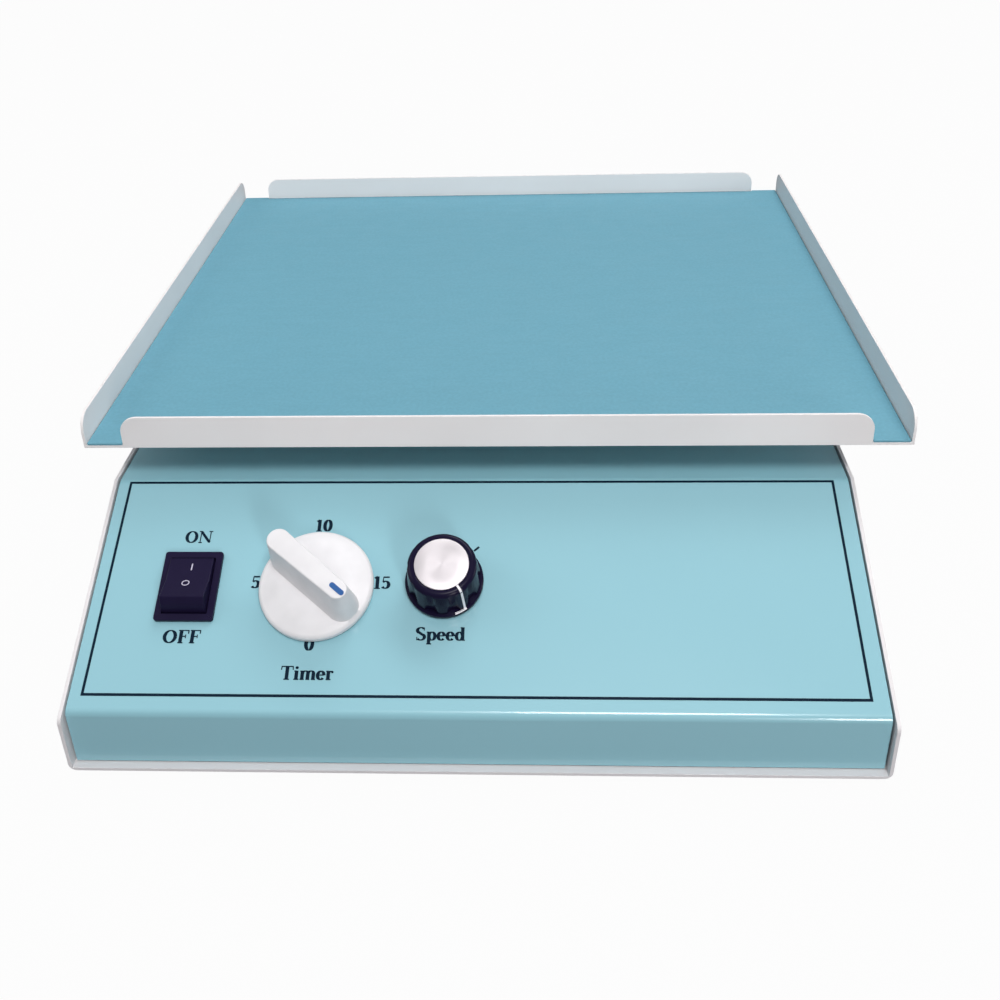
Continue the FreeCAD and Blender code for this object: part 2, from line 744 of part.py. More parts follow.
def make_deck():
    """A flat plate on four pillars, which carries every shaft of the drive."""
    body = new_body("drive_deck")
    sketch = new_sketch(body, "XY")
    draw_box(sketch, "0", "0", "deck_width", "deck_depth")
    plate = pad(body, sketch, "deck_sheet")
    round_edges(body, plate, "deck_corner", upright)
    holes = new_sketch(body, "XY")
    seat = "fit_clearance"
    draw_circle(holes, "0", "0", f"main_housing_radius + {seat}")
    draw_circle(holes, "-motor_setback", "0", f"motor_boss_radius + {seat}")
    hole = "screw_radius + screw_hole_clearance"
    for angle in ("45", "135", "225", "315"):
        draw_circle(holes, f"-motor_setback + motor_screw_circle*cos({angle})",
                    f"motor_screw_circle*sin({angle})", hole)
    for across in ("-1", "1"):
        for back in ("-1", "1"):
            draw_circle(holes, f"{across}*idler_spacing_x/2", f"{back}*idler_spacing_y/2",
                        f"idler_housing_radius + {seat}")
            draw_circle(holes, f"{across}*pillar_spacing_x/2", f"{back}*pillar_spacing_y/2", hole)
    pocket(body, holes, middle=True)
    place(body, "base_x", "drive_y", "deck_bottom")

    pillars = new_body("deck_pillars")
    bore = "screw_radius + screw_hole_clearance"
    pillar = revolve(pillars, [(bore, "0"), ("pillar_radius", "0"),
                               ("pillar_radius", "pillar_height"), (bore, "pillar_height")])
    repeat(pillars, [pillar], "pillar_spacing_x", "pillar_spacing_y")
    place(pillars, "base_x - pillar_spacing_x/2", "drive_y - pillar_spacing_y/2", "pan_top")
    screws("deck_screws", "deck_top", "deck_sheet + pillar_screw_bite", "pillar_spacing_x",
           "pillar_spacing_y", "base_x", "drive_y")
    screws("pillar_screws", "foot_height", "pan_sheet + pillar_screw_bite", "pillar_spacing_x",
           "pillar_spacing_y", "base_x", "drive_y", True)


def housing_outline(bore, bearing, width, outer, flange):
    """Half profile of a flanged housing with a bearing seat at each end."""
    top, low = "flange_thickness", "-deck_sheet - housing_drop"
    return [(f"{bore} + housing_lip", f"{low} + {width}"), (bearing, f"{low} + {width}"), (bearing, low),
            (outer, low), (outer, "0"), (flange, "0"), (flange, top), (bearing, top),
            (bearing, f"{top} - {width}"), (f"{bore} + housing_lip", f"{top} - {width}")]


def bearing_outline(bore, outer, width):
    """Half profile of a shielded ball bearing with recessed faces."""
    step, race = "bearing_recess", "bearing_race"
    inner, rim = f"{bore} + {race}", f"{outer} - {race}"
    return [(bore, "0"), (inner, "0"), (inner, step), (rim, step), (rim, "0"), (outer, "0"),
            (outer, width), (rim, width), (rim, f"{width} - {step}"),
            (inner, f"{width} - {step}"), (inner, width), (bore, width)]


def make_bearings():
    """Main housing in the middle of the deck and four idler housings at its corners."""
    seat = "fit_clearance"
    low = "deck_bottom - housing_drop"
    flange_top = "deck_top + flange_thickness"
    turned("main_bearing_housing",
           housing_outline("main_shaft_radius", "main_bearing_radius", "main_bearing_width",
                           "main_housing_radius", "main_flange_radius"), z="deck_top")
    body = new_body("main_bearings")
    revolve(body, bearing_outline(f"main_shaft_radius + {seat}",
                                  f"main_bearing_radius - {seat}", "main_bearing_width"))
    upper = new_sketch(body, "XY", f"{flange_top} - main_bearing_width - ({low})")
    draw_circle(upper, "0", "0", f"main_bearing_radius - {seat}")
    draw_circle(upper, "0", "0", f"main_shaft_radius + {seat}")
    pad(body, upper, "main_bearing_width")
    place(body, "base_x", "drive_y", low)

    housings = new_body("idler_housings")
    one = revolve(housings, housing_outline(
        "idler_shaft_radius", "pin_bearing_radius", "pin_bearing_width",
        "idler_housing_radius", "idler_flange_radius"))
    repeat(housings, [one], "idler_spacing_x", "idler_spacing_y")
    idler_corner = ("base_x - idler_spacing_x/2", "drive_y - idler_spacing_y/2")
    place(housings, *idler_corner, "deck_top")
    for label, height in (("idler_lower_bearings", low),
                          ("idler_upper_bearings", f"{flange_top} - pin_bearing_width")):
        rings = new_body(label)
        one = revolve(rings, bearing_outline(f"idler_shaft_radius + {seat}",
                                             f"pin_bearing_radius - {seat}",
                                             "pin_bearing_width"))
        repeat(rings, [one], "idler_spacing_x", "idler_spacing_y")
        place(rings, *idler_corner, height)


def crank(label, shaft, disc, x, y):
    """Shaft, disc and eccentric pin in one, with the pin's shoulder under its bearing."""
    body = new_body(label)
    low = "deck_bottom - housing_drop - shaft_tail"
    revolve(body, [("0", low), (shaft, low), (shaft, "disc_bottom"), (disc, "disc_bottom"),
                   (disc, "disc_top"), ("0", "disc_top")])
    pin_x, pin_y = "orbit_radius*cos(orbit_phase)", "orbit_radius*sin(orbit_phase)"
    shoulder = new_sketch(body, "XY", "disc_top")
    draw_circle(shoulder, pin_x, pin_y, "pin_shoulder_radius")
    pad(body, shoulder, "pin_shoulder")
    pin = new_sketch(body, "XY", "disc_top")
    draw_circle(pin, pin_x, pin_y, "pin_radius")
    pad(body, pin, "pin_shoulder + running_gap + pin_bearing_width + clip_thickness + pin_tip")
    place(body, x, y)


def pulley_outline(bore, radius):
    """Half profile of a flat belt pulley with a rim at each edge."""
    rim = f"{radius} + rim_height"
    high = "belt_width + 2*rim_thickness"
    return [(bore, "0"), (rim, "0"), (rim, "rim_thickness"), (radius, "rim_thickness"),
            (radius, f"{high} - rim_thickness"), (rim, f"{high} - rim_thickness"),
            (rim, high), (bore, high)]


def make_cranks():
    """The driven crank with its pulley and counterweight, and the four idler cranks."""
    crank("main_crank", "main_shaft_radius", "disc_radius", "base_x", "drive_y")
    pulley = turned("drive_pulley", pulley_outline("main_shaft_radius", "pulley_radius"),
                    z="pulley_bottom")
    windows = new_sketch(pulley, "XY")
    draw_circle(windows, "(pulley_radius + main_shaft_radius)/2", "0", "window_radius")
    window = pocket(pulley, windows, middle=True)
    circle_of(pulley, [window], "window_count")
    weight = new_body("counterweight")
    revolve(weight, [("weight_inner", "0"), ("weight_outer", "0"),
                     ("weight_outer", "weight_thickness"), ("weight_inner", "weight_thickness")],
            "weight_angle")
    place(weight, "base_x", "drive_y", "pulley_top",
          "orbit_phase + 180 + weight_angle/2", FreeCAD.Vector(0, 0, 1))
    clip = new_body("main_pin_clip")
    revolve(clip, [("pin_radius", "0"), ("clip_radius", "0"), ("clip_radius", "clip_thickness"),
                   ("pin_radius", "clip_thickness")])
    place(clip, "0", "tray_y", "pin_bearing_top + running_gap")
    number = 1
    for back in ("-1", "1"):
        for across in ("-1", "1"):
            crank(f"idler_crank_{number}", "idler_shaft_radius", "idler_disc_radius",
                  f"base_x + {across}*idler_spacing_x/2", f"drive_y + {back}*idler_spacing_y/2")
            number += 1


def make_motor():
    """Motor under the deck, its shaft and pulley above it, and the flat drive belt."""
    bore = "motor_shaft_radius + fit_clearance"
    turned("motor_can",
           [(bore, "deck_sheet"), ("motor_boss_radius", "deck_sheet"), ("motor_boss_radius", "0"),
            ("motor_radius", "0"), ("motor_radius", "motor_end_bevel - motor_length"),
            ("motor_radius - motor_end_bevel", "-motor_length"), (bore, "-motor_length")],
           x="motor_x", z="deck_bottom")
    screw_ring = new_body("motor_screws")
    heads = new_sketch(screw_ring, "XY")
    shanks = new_sketch(screw_ring, "XY", "-deck_sheet")
    spot = ("motor_screw_circle*cos(45)", "motor_screw_circle*sin(45)")
    draw_circle(heads, *spot, "screw_head_radius")
    draw_circle(shanks, *spot, "screw_radius")
    head = pad(screw_ring, heads, "screw_head_height")
    shank = pad(screw_ring, shanks, "deck_sheet")
    circle_of(screw_ring, [head, shank], "4")
    place(screw_ring, "motor_x", "drive_y", "deck_top")
    low = "deck_bottom - motor_length + motor_shaft_step"
    high = "pulley_top + motor_shaft_spare"
    turned("motor_shaft", [("0", low), ("motor_shaft_radius", low), ("motor_shaft_radius", high),
                           ("0", high)], x="motor_x")
    turned("motor_pulley", pulley_outline("motor_shaft_radius", "motor_pulley_radius"),
           x="motor_x", z="pulley_bottom")

    belt = new_body("drive_belt")
    inner_large = "(pulley_radius + belt_clearance)"
    inner_small = "(motor_pulley_radius + belt_clearance)"
    lean = f"acos(({inner_large} - {inner_small})/motor_setback)"

    def loop(grow):
        large, small = f"({inner_large} + {grow})", f"({inner_small} + {grow})"
        corners = [(f"0 - {large}*cos({lean})", f"{large}*sin({lean})"),
                   (f"-motor_setback - {small}*cos({lean})", f"{small}*sin({lean})"),
                   (f"-motor_setback - {small}*cos({lean})", f"-{small}*sin({lean})"),
                   (f"0 - {large}*cos({lean})", f"-{large}*sin({lean})")]
        return large, small, corners
    for grow, act in (("belt_thickness", pad), ("0", pocket)):
        large, small, corners = loop(grow)
        for shape in ("large", "small", "strip"):
            sketch = new_sketch(belt, "XY")
            if shape == "large":
                draw_circle(sketch, "0", "0", large)
            elif shape == "small":
                draw_circle(sketch, "-motor_setback", "0", small)
            else:
                draw_outline(sketch, corners)
            if act is pad:
                pad(belt, sketch, "belt_width - 2*belt_side_gap")
            else:
                pocket(belt, sketch, middle=True)
    place(belt, "base_x", "drive_y", "belt_bottom + belt_side_gap")


def make_tray():
    """Carriage plate with five bearing hubs, the sheet tray on it and the mat in the tray."""
    body = new_body("tray_carriage")
    width = "idler_spacing_x + 2*carriage_margin"
    depth = "idler_spacing_y + 2*carriage_margin"
    plate = new_sketch(body, "XY")
    draw_box(plate, "0", "0", width, depth)
    slab = pad(body, plate, "carriage_sheet")
    round_edges(body, slab, "carriage_corner", upright)
    spots = [("0", "0")]
    for across in ("-1", "1"):
        for back in ("-1", "1"):
            spots.append((f"{across}*idler_spacing_x/2", f"{back}*idler_spacing_y/2"))
    hubs = new_sketch(body, "XY")
    seats = new_sketch(body, "XY", "pin_bearing_top - carriage_bottom")
    holes = new_sketch(body, "XY")
    for x, y in spots:
        draw_circle(hubs, x, y, "hub_radius")
        draw_circle(seats, x, y, "pin_bearing_radius")
        draw_circle(holes, x, y, "clip_radius + clip_clearance")
    pad(body, hubs, "carriage_bottom - pin_bearing_bottom", back=True)
    pocket(body, seats, "pin_bearing_top - pin_bearing_bottom")
    for across in ("-1", "1"):
        for back in ("-1", "1"):
            draw_circle(holes, f"{across}*tray_screw_x/2", f"{back}*tray_screw_y/2", "screw_radius")
    pocket(body, holes, back=True)
    place(body, "0", "tray_y", "carriage_bottom")

    bearings = new_body("pin_bearings")
    race = bearing_outline("pin_radius + fit_clearance", "pin_bearing_radius - fit_clearance",
                           "pin_bearing_width")
    ring = revolve(bearings, race)
    repeat(bearings, [ring], "idler_spacing_x", "idler_spacing_y")
    place(bearings, "0 - idler_spacing_x/2", "tray_y - idler_spacing_y/2", "pin_bearing_bottom")
    turned("main_pin_bearing", race, "0", "tray_y", "pin_bearing_bottom")

    tray = new_body("tray")
    floor = new_sketch(tray, "XY")
    draw_box(floor, "0", "0", "tray_width", "tray_depth")
    pad(tray, floor, "tray_sheet")
    front = new_sketch(tray, "XZ", "tray_depth/2 - tray_sheet")
    high = "flange_top - tray_bottom"
    draw_outline(front, [("flange_inset - tray_width/2", "0"), ("tray_width/2 - flange_inset", "0"),
                         ("tray_width/2 - flange_inset", high),
                         ("flange_inset - tray_width/2", high)])
    front_flange = pad(tray, front, "tray_sheet")
    mirror(tray, [front_flange], "XZ")
    side = new_sketch(tray, "YZ", "tray_width/2 - tray_sheet")
    draw_outline(side, [("-tray_depth/2", "0"), ("tray_depth/2", "0"),
                        ("tray_depth/2", high), ("-tray_depth/2", high)])
    side_flange = pad(tray, side, "tray_sheet")
    mirror(tray, [side_flange])

    def top_corner(first, second):
        level = near(first.z, high) and near(second.z, high)
        thin = abs((first - second).Length - value("tray_sheet")) < 0.01
        return level and thin
    round_edges(tray, tray.Tip, "flange_round", top_corner)
    drill = new_sketch(tray, "XY")
    for across in ("-1", "1"):
        for back in ("-1", "1"):
            draw_circle(drill, f"{across}*tray_screw_x/2", f"{back}*tray_screw_y/2",
                        "screw_radius + screw_hole_clearance")
    pocket(tray, drill, middle=True)
    place(tray, "0", "tray_y", "tray_bottom")

    mat = new_body("tray_mat")
    sheet_face = new_sketch(mat, "XY")
    inner = "tray_width/2 - tray_sheet - mat_gap"
    edge, cut = "tray_depth/2", "tray_depth/2 - tray_sheet - mat_gap"
    notch = "tray_width/2 - flange_inset + mat_gap"
    draw_outline(sheet_face, [
        (f"-({inner})", f"-({edge})"), (f"-({notch})", f"-({edge})"),
        (f"-({notch})", f"-({cut})"), (notch, f"-({cut})"), (notch, f"-({edge})"),
        (inner, f"-({edge})"), (inner, edge), (notch, edge), (notch, cut),
        (f"-({notch})", cut), (f"-({notch})", edge), (f"-({inner})", edge)])
    pad(mat, sheet_face, "mat_thickness")
    place(mat, "0", "tray_y", "tray_top")
    flat = new_body("tray_screws")
    high = "carriage_sheet + tray_sheet - tray_screw_sink"
    one = revolve(flat, [("0", "0"), ("tray_screw_radius", "0"), ("tray_screw_radius", high),
                         ("0", high)])
    repeat(flat, [one], "tray_screw_x", "tray_screw_y")
    place(flat, "0 - tray_screw_x/2", "tray_y - tray_screw_y/2", "carriage_bottom")


def make_switch():
    """Snap-in rocker switch: bezel with its box, paddle and three blade terminals."""
    bezel = new_body("switch_bezel")
    face = new_sketch(bezel, "XY")
    draw_box(face, "0", "0", "bezel_width", "bezel_length")
    rim = pad(bezel, face, "bezel_height")
    round_edges(bezel, rim, "bezel_round", upright)
    wall_x = "rocker_width + 2*(rocker_clearance + switch_wall)"
    wall_y = "2*(rocker_radius + rocker_clearance + switch_wall)"
    box = new_sketch(bezel, "XY")
    draw_box(box, "0", "0", wall_x, wall_y)
    pad(bezel, box, "switch_depth", back=True)
    well = new_sketch(bezel, "XY", "bezel_height")
    draw_box(well, "0", "0", "rocker_width + 2*rocker_clearance",
             "2*(rocker_radius + rocker_clearance)")
    pocket(bezel, well, "bezel_height + rocker_pivot_depth + rocker_radius + rocker_well_spare")
    on_panel(bezel, "switch_across", "switch_up")

    paddle = new_body("rocker_paddle")
    side = new_sketch(paddle, "YZ")
    end_y = "rocker_radius*cos(rocker_end_angle)"
    end_z = "rocker_radius*sin(rocker_end_angle)"
    radius = value("rocker_radius")
    middle = FreeCAD.Vector(0, -radius, 0)
    left = FreeCAD.Vector(-value(end_y), value(end_z), 0)
    right = FreeCAD.Vector(value(end_y), value(end_z), 0)
    valley = FreeCAD.Vector(0, value(end_z) - value("rocker_dip"), 0)
    side.addGeometry(Part.Arc(left, middle, right), False)
    side.addGeometry(Part.LineSegment(right, valley), False)
    side.addGeometry(Part.LineSegment(valley, left), False)
    side.addConstraint(Sketcher.Constraint("Coincident", 0, 3, -1, 1))
    arc_right = 2 if side.Geometry[0].EndPoint.x > 0 else 1
    side.addConstraint(Sketcher.Constraint("Coincident", 0, arc_right, 1, 1))
    side.addConstraint(Sketcher.Constraint("Coincident", 1, 2, 2, 1))
    side.addConstraint(Sketcher.Constraint("Coincident", 2, 2, 0, 3 - arc_right))
    tie(side, "DistanceX", -1, 1, 1, 1, end_y)
    tie(side, "DistanceY", -1, 1, 1, 1, end_z)
    tie(side, "DistanceX", -1, 1, 1, 2, "0")
    tie(side, "DistanceY", -1, 1, 1, 2, f"{end_z} - rocker_dip")
    tie(side, "DistanceX", 2, 2, 1, 1, f"2*{end_y}")
    pad(paddle, side, "rocker_width", middle=True)
    place(paddle, "base_x + switch_across",
          "front_y + switch_up*cos(panel_slope) + rocker_pivot_depth*sin(panel_slope)",
          "bend_z + switch_up*sin(panel_slope) - rocker_pivot_depth*cos(panel_slope)",
          "panel_slope - rocker_swing/2")

    blades = new_body("switch_terminals")
    feet = new_sketch(blades, "XY", "-switch_depth")
    for up in ("-terminal_pitch", "0", "terminal_pitch"):
        draw_box(feet, "0", up, "terminal_width", "terminal_sheet")
    pad(blades, feet, "terminal_length", back=True)
    on_panel(blades, "switch_across", "switch_up")


def make_timer():
    """Timer movement behind the panel, and the knob with its grip bar on the shaft."""
    movement = new_body("timer_body")
    case = new_sketch(movement, "XY", "-movement_top")
    draw_box(case, "0", "0", "timer_body_width", "timer_body_width")
    block = pad(movement, case, "timer_body_depth", back=True)
    round_edges(movement, block, "timer_body_corner", upright)
    bore = new_sketch(movement, "XY", "-movement_top")
    draw_circle(bore, "0", "0", "timer_shaft_radius + fit_clearance")
    pocket(movement, bore, "timer_bore_depth")
    holes = new_sketch(movement, "XY", "-movement_top")
    for side in ("-", ""):
        draw_circle(holes, f"{side}timer_screw_spacing/2", "0", "timer_screw_radius + fit_clearance")
    pocket(movement, holes, "timer_screw_bite + timer_screw_hole_spare")
    on_panel(movement, "timer_across", "timer_up")
    pair = new_body("timer_screws")
    heads = new_sketch(pair, "XY")
    shanks = new_sketch(pair, "XY")
    for side in ("-", ""):
        draw_circle(heads, f"{side}timer_screw_spacing/2", "0", "timer_screw_head_radius")
        draw_circle(shanks, f"{side}timer_screw_spacing/2", "0", "timer_screw_radius")
    pad(pair, heads, "timer_screw_head_height")
    pad(pair, shanks, "movement_top + timer_screw_bite", back=True)
    on_panel(pair, "timer_across", "timer_up")
    tabs = new_body("timer_terminals")
    feet = new_sketch(tabs, "XY", "-movement_top - timer_body_depth")
    for across in ("-timer_terminal_spread", "timer_terminal_spread"):
        draw_box(feet, across, "0", "terminal_sheet", "terminal_width")
    pad(tabs, feet, "timer_terminal_length", back=True)
    on_panel(tabs, "timer_across", "timer_up")
    shaft = new_body("timer_shaft")
    low, high = "-timer_shaft_depth", "timer_disc_height + timer_shaft_rise"
    revolve(shaft, [("0", low), ("timer_shaft_radius", low), ("timer_shaft_radius", high),
                    ("0", high)])
    on_panel(shaft, "timer_across", "timer_up")

    knob = new_body("timer_knob")
    lift, top, rim = "knob_lift", "timer_disc_height", "timer_disc_radius"
    bore = "timer_shaft_radius + fit_clearance"
    boss, boss_top = "timer_boss_radius", f"{top} + timer_boss_rise"
    socket_top = f"{top} + timer_socket_rise"
    revolve(knob, [("0", socket_top), ("0", boss_top), (boss, boss_top), (boss, top),
                   (f"{rim} - timer_disc_edge", top),
                   (f"{rim} - timer_disc_crown", f"{top} - timer_disc_crown"),
                   (rim, f"{top} - timer_disc_edge"), (rim, lift), (bore, lift),
                   (bore, socket_top)])
    crest = f"{top} + grip_height"
    foot = new_sketch(knob, "XY", f"{top} - grip_sink", "timer_rest_turn")
    draw_slot(foot, "grip_foot_back", "grip_foot_front", "grip_foot_radius", "grip_foot_radius")
    face = new_sketch(knob, "XY", crest, "timer_rest_turn")
    draw_slot(face, "grip_top_back", "grip_top_front", "grip_back_radius", "grip_front_radius")
    grip = knob.newObject("PartDesign::AdditiveLoft", "timer_knob_grip")
    grip.Profile = foot
    grip.Sections = [face]

    def crest_edge(first, second):
        return near(first.z, crest) and near(second.z, crest)
    round_edges(knob, grip, "grip_edge", crest_edge)
    inner = new_sketch(knob, "XY", lift)
    draw_circle(inner, "0", "0", bore)
    pocket(knob, inner, f"{socket_top} - {lift}", back=True)
    on_panel(knob, "timer_across", "timer_up")

    mark = new_body("timer_pointer")
    strip = new_sketch(mark, "XY", crest, "timer_rest_turn")
    draw_box(strip, "pointer_start + pointer_length/2", "0", "pointer_length", "pointer_width")
    pad(mark, strip, "pointer_height")
    on_panel(mark, "timer_across", "timer_up")


def make_speed():
    """Potentiometer held by its nut, and the fluted knob with its metal cap."""
    pot = new_body("pot_body")
    seat, low, high = "-pot_seat", "-pot_seat - pot_body_depth", "pot_nut_height + pot_bush_spare"
    bore = "pot_shaft_radius + fit_clearance"
    revolve(pot, [(bore, low), ("pot_body_radius", low), ("pot_body_radius", seat),
                  ("pot_bush_radius", seat), ("pot_bush_radius", high), (bore, high)])
    on_panel(pot, "speed_across", "speed_up")
    nut = new_body("pot_nut")
    face = new_sketch(nut, "XY", "pot_gap")
    draw_outline(face, [(f"pot_nut_radius*cos({a})", f"pot_nut_radius*sin({a})")
                        for a in range(0, 360, 60)])
    pad(nut, face, "pot_nut_height")
    hole = new_sketch(nut, "XY")
    draw_circle(hole, "0", "0", "pot_bush_radius + fit_clearance")
    pocket(nut, hole, middle=True)
    on_panel(nut, "speed_across", "speed_up")
    shaft = new_body("pot_shaft")
    low, tip = f"{low} + pot_shaft_floor", "speed_knob_height - pot_shaft_drop"
    revolve(shaft, [("0", low), ("pot_shaft_radius", low), ("pot_shaft_radius", tip), ("0", tip)])
    on_panel(shaft, "speed_across", "speed_up")

    knob = new_body("speed_knob")
    skirt, neck, rim = "speed_skirt_height", "speed_neck_radius", "speed_skirt_radius"
    high, well_top = "speed_knob_height", "speed_well_height"
    well = "pot_nut_radius + speed_well_clearance"
    cap, cap_low = "speed_cap_radius", f"{high} - speed_cap_thickness"
    socket = f"{high} - speed_socket_depth"
    turn = revolve(knob, [
        (bore, well_top), (well, well_top), (well, "knob_lift"), (rim, "knob_lift"),
        (rim, f"{skirt} - speed_skirt_bevel"), (f"{rim} - speed_skirt_bevel", skirt),
        (neck, skirt), ("speed_top_radius", high), (cap, high), (cap, cap_low),
        ("0", cap_low), ("0", socket), (bore, socket)])

    def shoulder(first, second):
        return near(first.z, high) and near(math.hypot(first.x, first.y), "speed_top_radius")
    round_edges(knob, turn, "speed_shoulder", shoulder)
    flute = new_sketch(knob, "XY", skirt)
    draw_circle(flute, f"{neck} + flute_radius - flute_depth", "0", "flute_radius")
    groove = pocket(knob, flute, f"{high} - {skirt}", back=True)
    circle_of(knob, [groove], "flute_count")
    on_panel(knob, "speed_across", "speed_up")
    disc = new_body("speed_cap")
    edge, crown = f"{cap} - fit_clearance", f"{high} + speed_cap_crown"
    revolve(disc, [("0", cap_low), (edge, cap_low), (edge, f"{crown} - speed_cap_bevel"),
                   (f"{edge} - speed_cap_bevel", crown), ("0", crown)])
    on_panel(disc, "speed_across", "speed_up")


def make_electronics():
    """Control board on four standoffs with its large parts."""
    board = new_body("control_board")
    face = new_sketch(board, "XY")
    draw_box(face, "0", "0", "board_width", "board_depth")
    pad(board, face, "board_sheet")
    across, back = "base_x + board_across", "front_y + board_back"
    place(board, across, back, "board_top - board_sheet")
    posts = new_body("board_standoffs")
    post = revolve(posts, [("0", "0"), ("standoff_radius", "0"),
                           ("standoff_radius", "standoff_height"), ("0", "standoff_height")])
    repeat(posts, [post], "2*half_board_x", "2*half_board_y")
    place(posts, f"{across} - half_board_x", f"{back} - half_board_y", "pan_top")
    core = new_body("transformer")
    face = new_sketch(core, "XY")
    draw_box(face, "0", "0", "transformer_width", "transformer_depth")
    block = pad(core, face, "transformer_height")
    round_edges(core, block, "transformer_corner", upright)
    place(core, f"{across} + transformer_across", f"{back} + transformer_back", "board_top")
    fins = new_body("board_heatsink")
    base = new_sketch(fins, "XY")
    draw_box(base, "0", "0", "sink_width", "sink_length")
    pad(fins, base, "sink_base")
    blade = new_sketch(fins, "XY")
    draw_box(blade, "(fin_sheet - sink_width)/2", "0", "fin_sheet", "sink_length")
    first = pad(fins, blade, "sink_height")
    repeat(fins, [first], "fin_pitch", None, "fin_count")
    place(fins, f"{across} + sink_across", f"{back} + sink_back", "board_top")
    drum = new_body("capacitor")
    revolve(drum, [("0", "0"), ("capacitor_radius", "0"),
                   ("capacitor_radius", "capacitor_height - capacitor_bevel"),
                   ("capacitor_radius - capacitor_bevel", "capacitor_height"),
                   ("0", "capacitor_height")])
    place(drum, f"{across} + capacitor_across", f"{back} + capacitor_back", "board_top")


def make_inlet():
    """Mains inlet in the back of the cover with three pins, and the earth stud in the pan."""
    inlet = new_body("inlet_body")
    face = new_sketch(inlet, "XZ")
    draw_box(face, "0", "0", "inlet_flange_width", "inlet_flange_height")
    flange = pad(inlet, face, "inlet_flange_sheet", back=True)

    def through(first, second):
        return abs(first.x - second.x) < 0.01 and abs(first.z - second.z) < 0.01
    round_edges(inlet, flange, "inlet_flange_corner", through)
    body = new_sketch(inlet, "XZ")
    draw_box(body, "0", "0", "inlet_body_width", "inlet_body_height")
    pad(inlet, body, "inlet_depth")
    well = new_sketch(inlet, "XZ", "-inlet_flange_sheet")
    draw_box(well, "0", "0", "socket_width", "socket_height")
    pocket(inlet, well, "socket_depth", back=True)
    holes = new_sketch(inlet, "XZ")
    for side in ("-", ""):
        draw_circle(holes, f"{side}inlet_screw_spacing/2", "0",
                    "screw_radius + screw_hole_clearance")
    pocket(inlet, holes, middle=True)
    at = ("base_x + inlet_across", "rear_y", "inlet_height")
    place(inlet, *at)
    pins = new_body("inlet_pins")
    face = new_sketch(pins, "XZ", "socket_depth - inlet_flange_sheet")
    for across, up in (("-pin_blade_spread", "-pin_blade_offset"),
                       ("0", "pin_blade_offset"), ("pin_blade_spread", "-pin_blade_offset")):
        draw_box(face, across, up, "pin_blade_width", "pin_blade_height")
    pad(pins, face, "pin_blade_length", back=True)
    place(pins, *at)
    pair = new_body("inlet_screws")
    heads = new_sketch(pair, "XZ", "-inlet_flange_sheet")
    shanks = new_sketch(pair, "XZ", "-inlet_flange_sheet")
    for side in ("-", ""):
        draw_circle(heads, f"{side}inlet_screw_spacing/2", "0", "screw_head_radius")
        draw_circle(shanks, f"{side}inlet_screw_spacing/2", "0", "screw_radius")
    pad(pair, heads, "screw_head_height", back=True)
    pad(pair, shanks, "inlet_flange_sheet + cover_sheet + inlet_screw_bite")
    place(pair, *at)
    turned("earth_stud",
           [("0", "0"), ("stud_head_radius", "0"), ("stud_head_radius", "stud_head_height"),
            ("stud_radius", "stud_head_height"), ("stud_radius", "stud_height"),
            ("0", "stud_height")],
           "base_x + stud_across", "rear_y - stud_inset", "pan_top")


make_chassis_pan()
cut_panel(make_top_cover())
make_cover_screws()
make_feet()
make_deck()
make_bearings()
make_cranks()
make_motor()
make_tray()
make_switch()
make_timer()
make_speed()
make_electronics()
make_inlet()
doc.recompute()

faults = [thing.Name for thing in doc.Objects if {"Invalid", "Error"} & set(thing.State)]
for node in NODES:
    if node.Shape.isNull() or not node.Shape.isValid() or not node.Shape.Solids:
        faults.append(node.Label)
if faults:
    raise RuntimeError("failed objects: " + ", ".join(faults))

os.makedirs("parts", exist_ok=True)
for node in NODES:
    node.Shape.exportStep("parts/%s.step" % node.Label)
print("wrote", len(NODES), "sub-parts")
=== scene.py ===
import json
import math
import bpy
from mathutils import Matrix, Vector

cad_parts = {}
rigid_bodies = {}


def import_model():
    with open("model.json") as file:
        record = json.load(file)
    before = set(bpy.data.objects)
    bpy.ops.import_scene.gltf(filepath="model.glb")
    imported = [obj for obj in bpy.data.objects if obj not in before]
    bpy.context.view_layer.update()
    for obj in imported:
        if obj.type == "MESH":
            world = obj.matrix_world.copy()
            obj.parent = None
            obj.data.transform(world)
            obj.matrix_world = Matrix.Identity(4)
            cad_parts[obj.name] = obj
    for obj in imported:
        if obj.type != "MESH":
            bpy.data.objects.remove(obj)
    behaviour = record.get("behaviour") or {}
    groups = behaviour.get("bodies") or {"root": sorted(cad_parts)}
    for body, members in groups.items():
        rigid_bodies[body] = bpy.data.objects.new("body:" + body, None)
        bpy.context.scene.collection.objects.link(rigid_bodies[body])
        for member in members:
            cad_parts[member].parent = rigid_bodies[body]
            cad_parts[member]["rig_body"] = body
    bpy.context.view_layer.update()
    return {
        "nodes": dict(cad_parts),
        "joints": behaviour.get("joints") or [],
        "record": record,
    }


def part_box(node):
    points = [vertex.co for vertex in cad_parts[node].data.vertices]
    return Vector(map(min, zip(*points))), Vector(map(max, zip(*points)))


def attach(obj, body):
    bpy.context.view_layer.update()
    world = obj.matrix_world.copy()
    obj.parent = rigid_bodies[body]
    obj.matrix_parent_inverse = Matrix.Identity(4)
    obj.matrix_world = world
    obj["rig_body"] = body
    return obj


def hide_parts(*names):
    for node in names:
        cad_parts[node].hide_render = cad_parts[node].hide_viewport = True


bl_info = {
    "name": "Platform Rotator Looks",
    "version": (1, 1, 0),
    "blender": (4, 5, 0),
    "location": "View3D > Sidebar > Rotator",
    "description": "Finishes, print and small details for a bench platform rotator",
    "category": "Object",
}

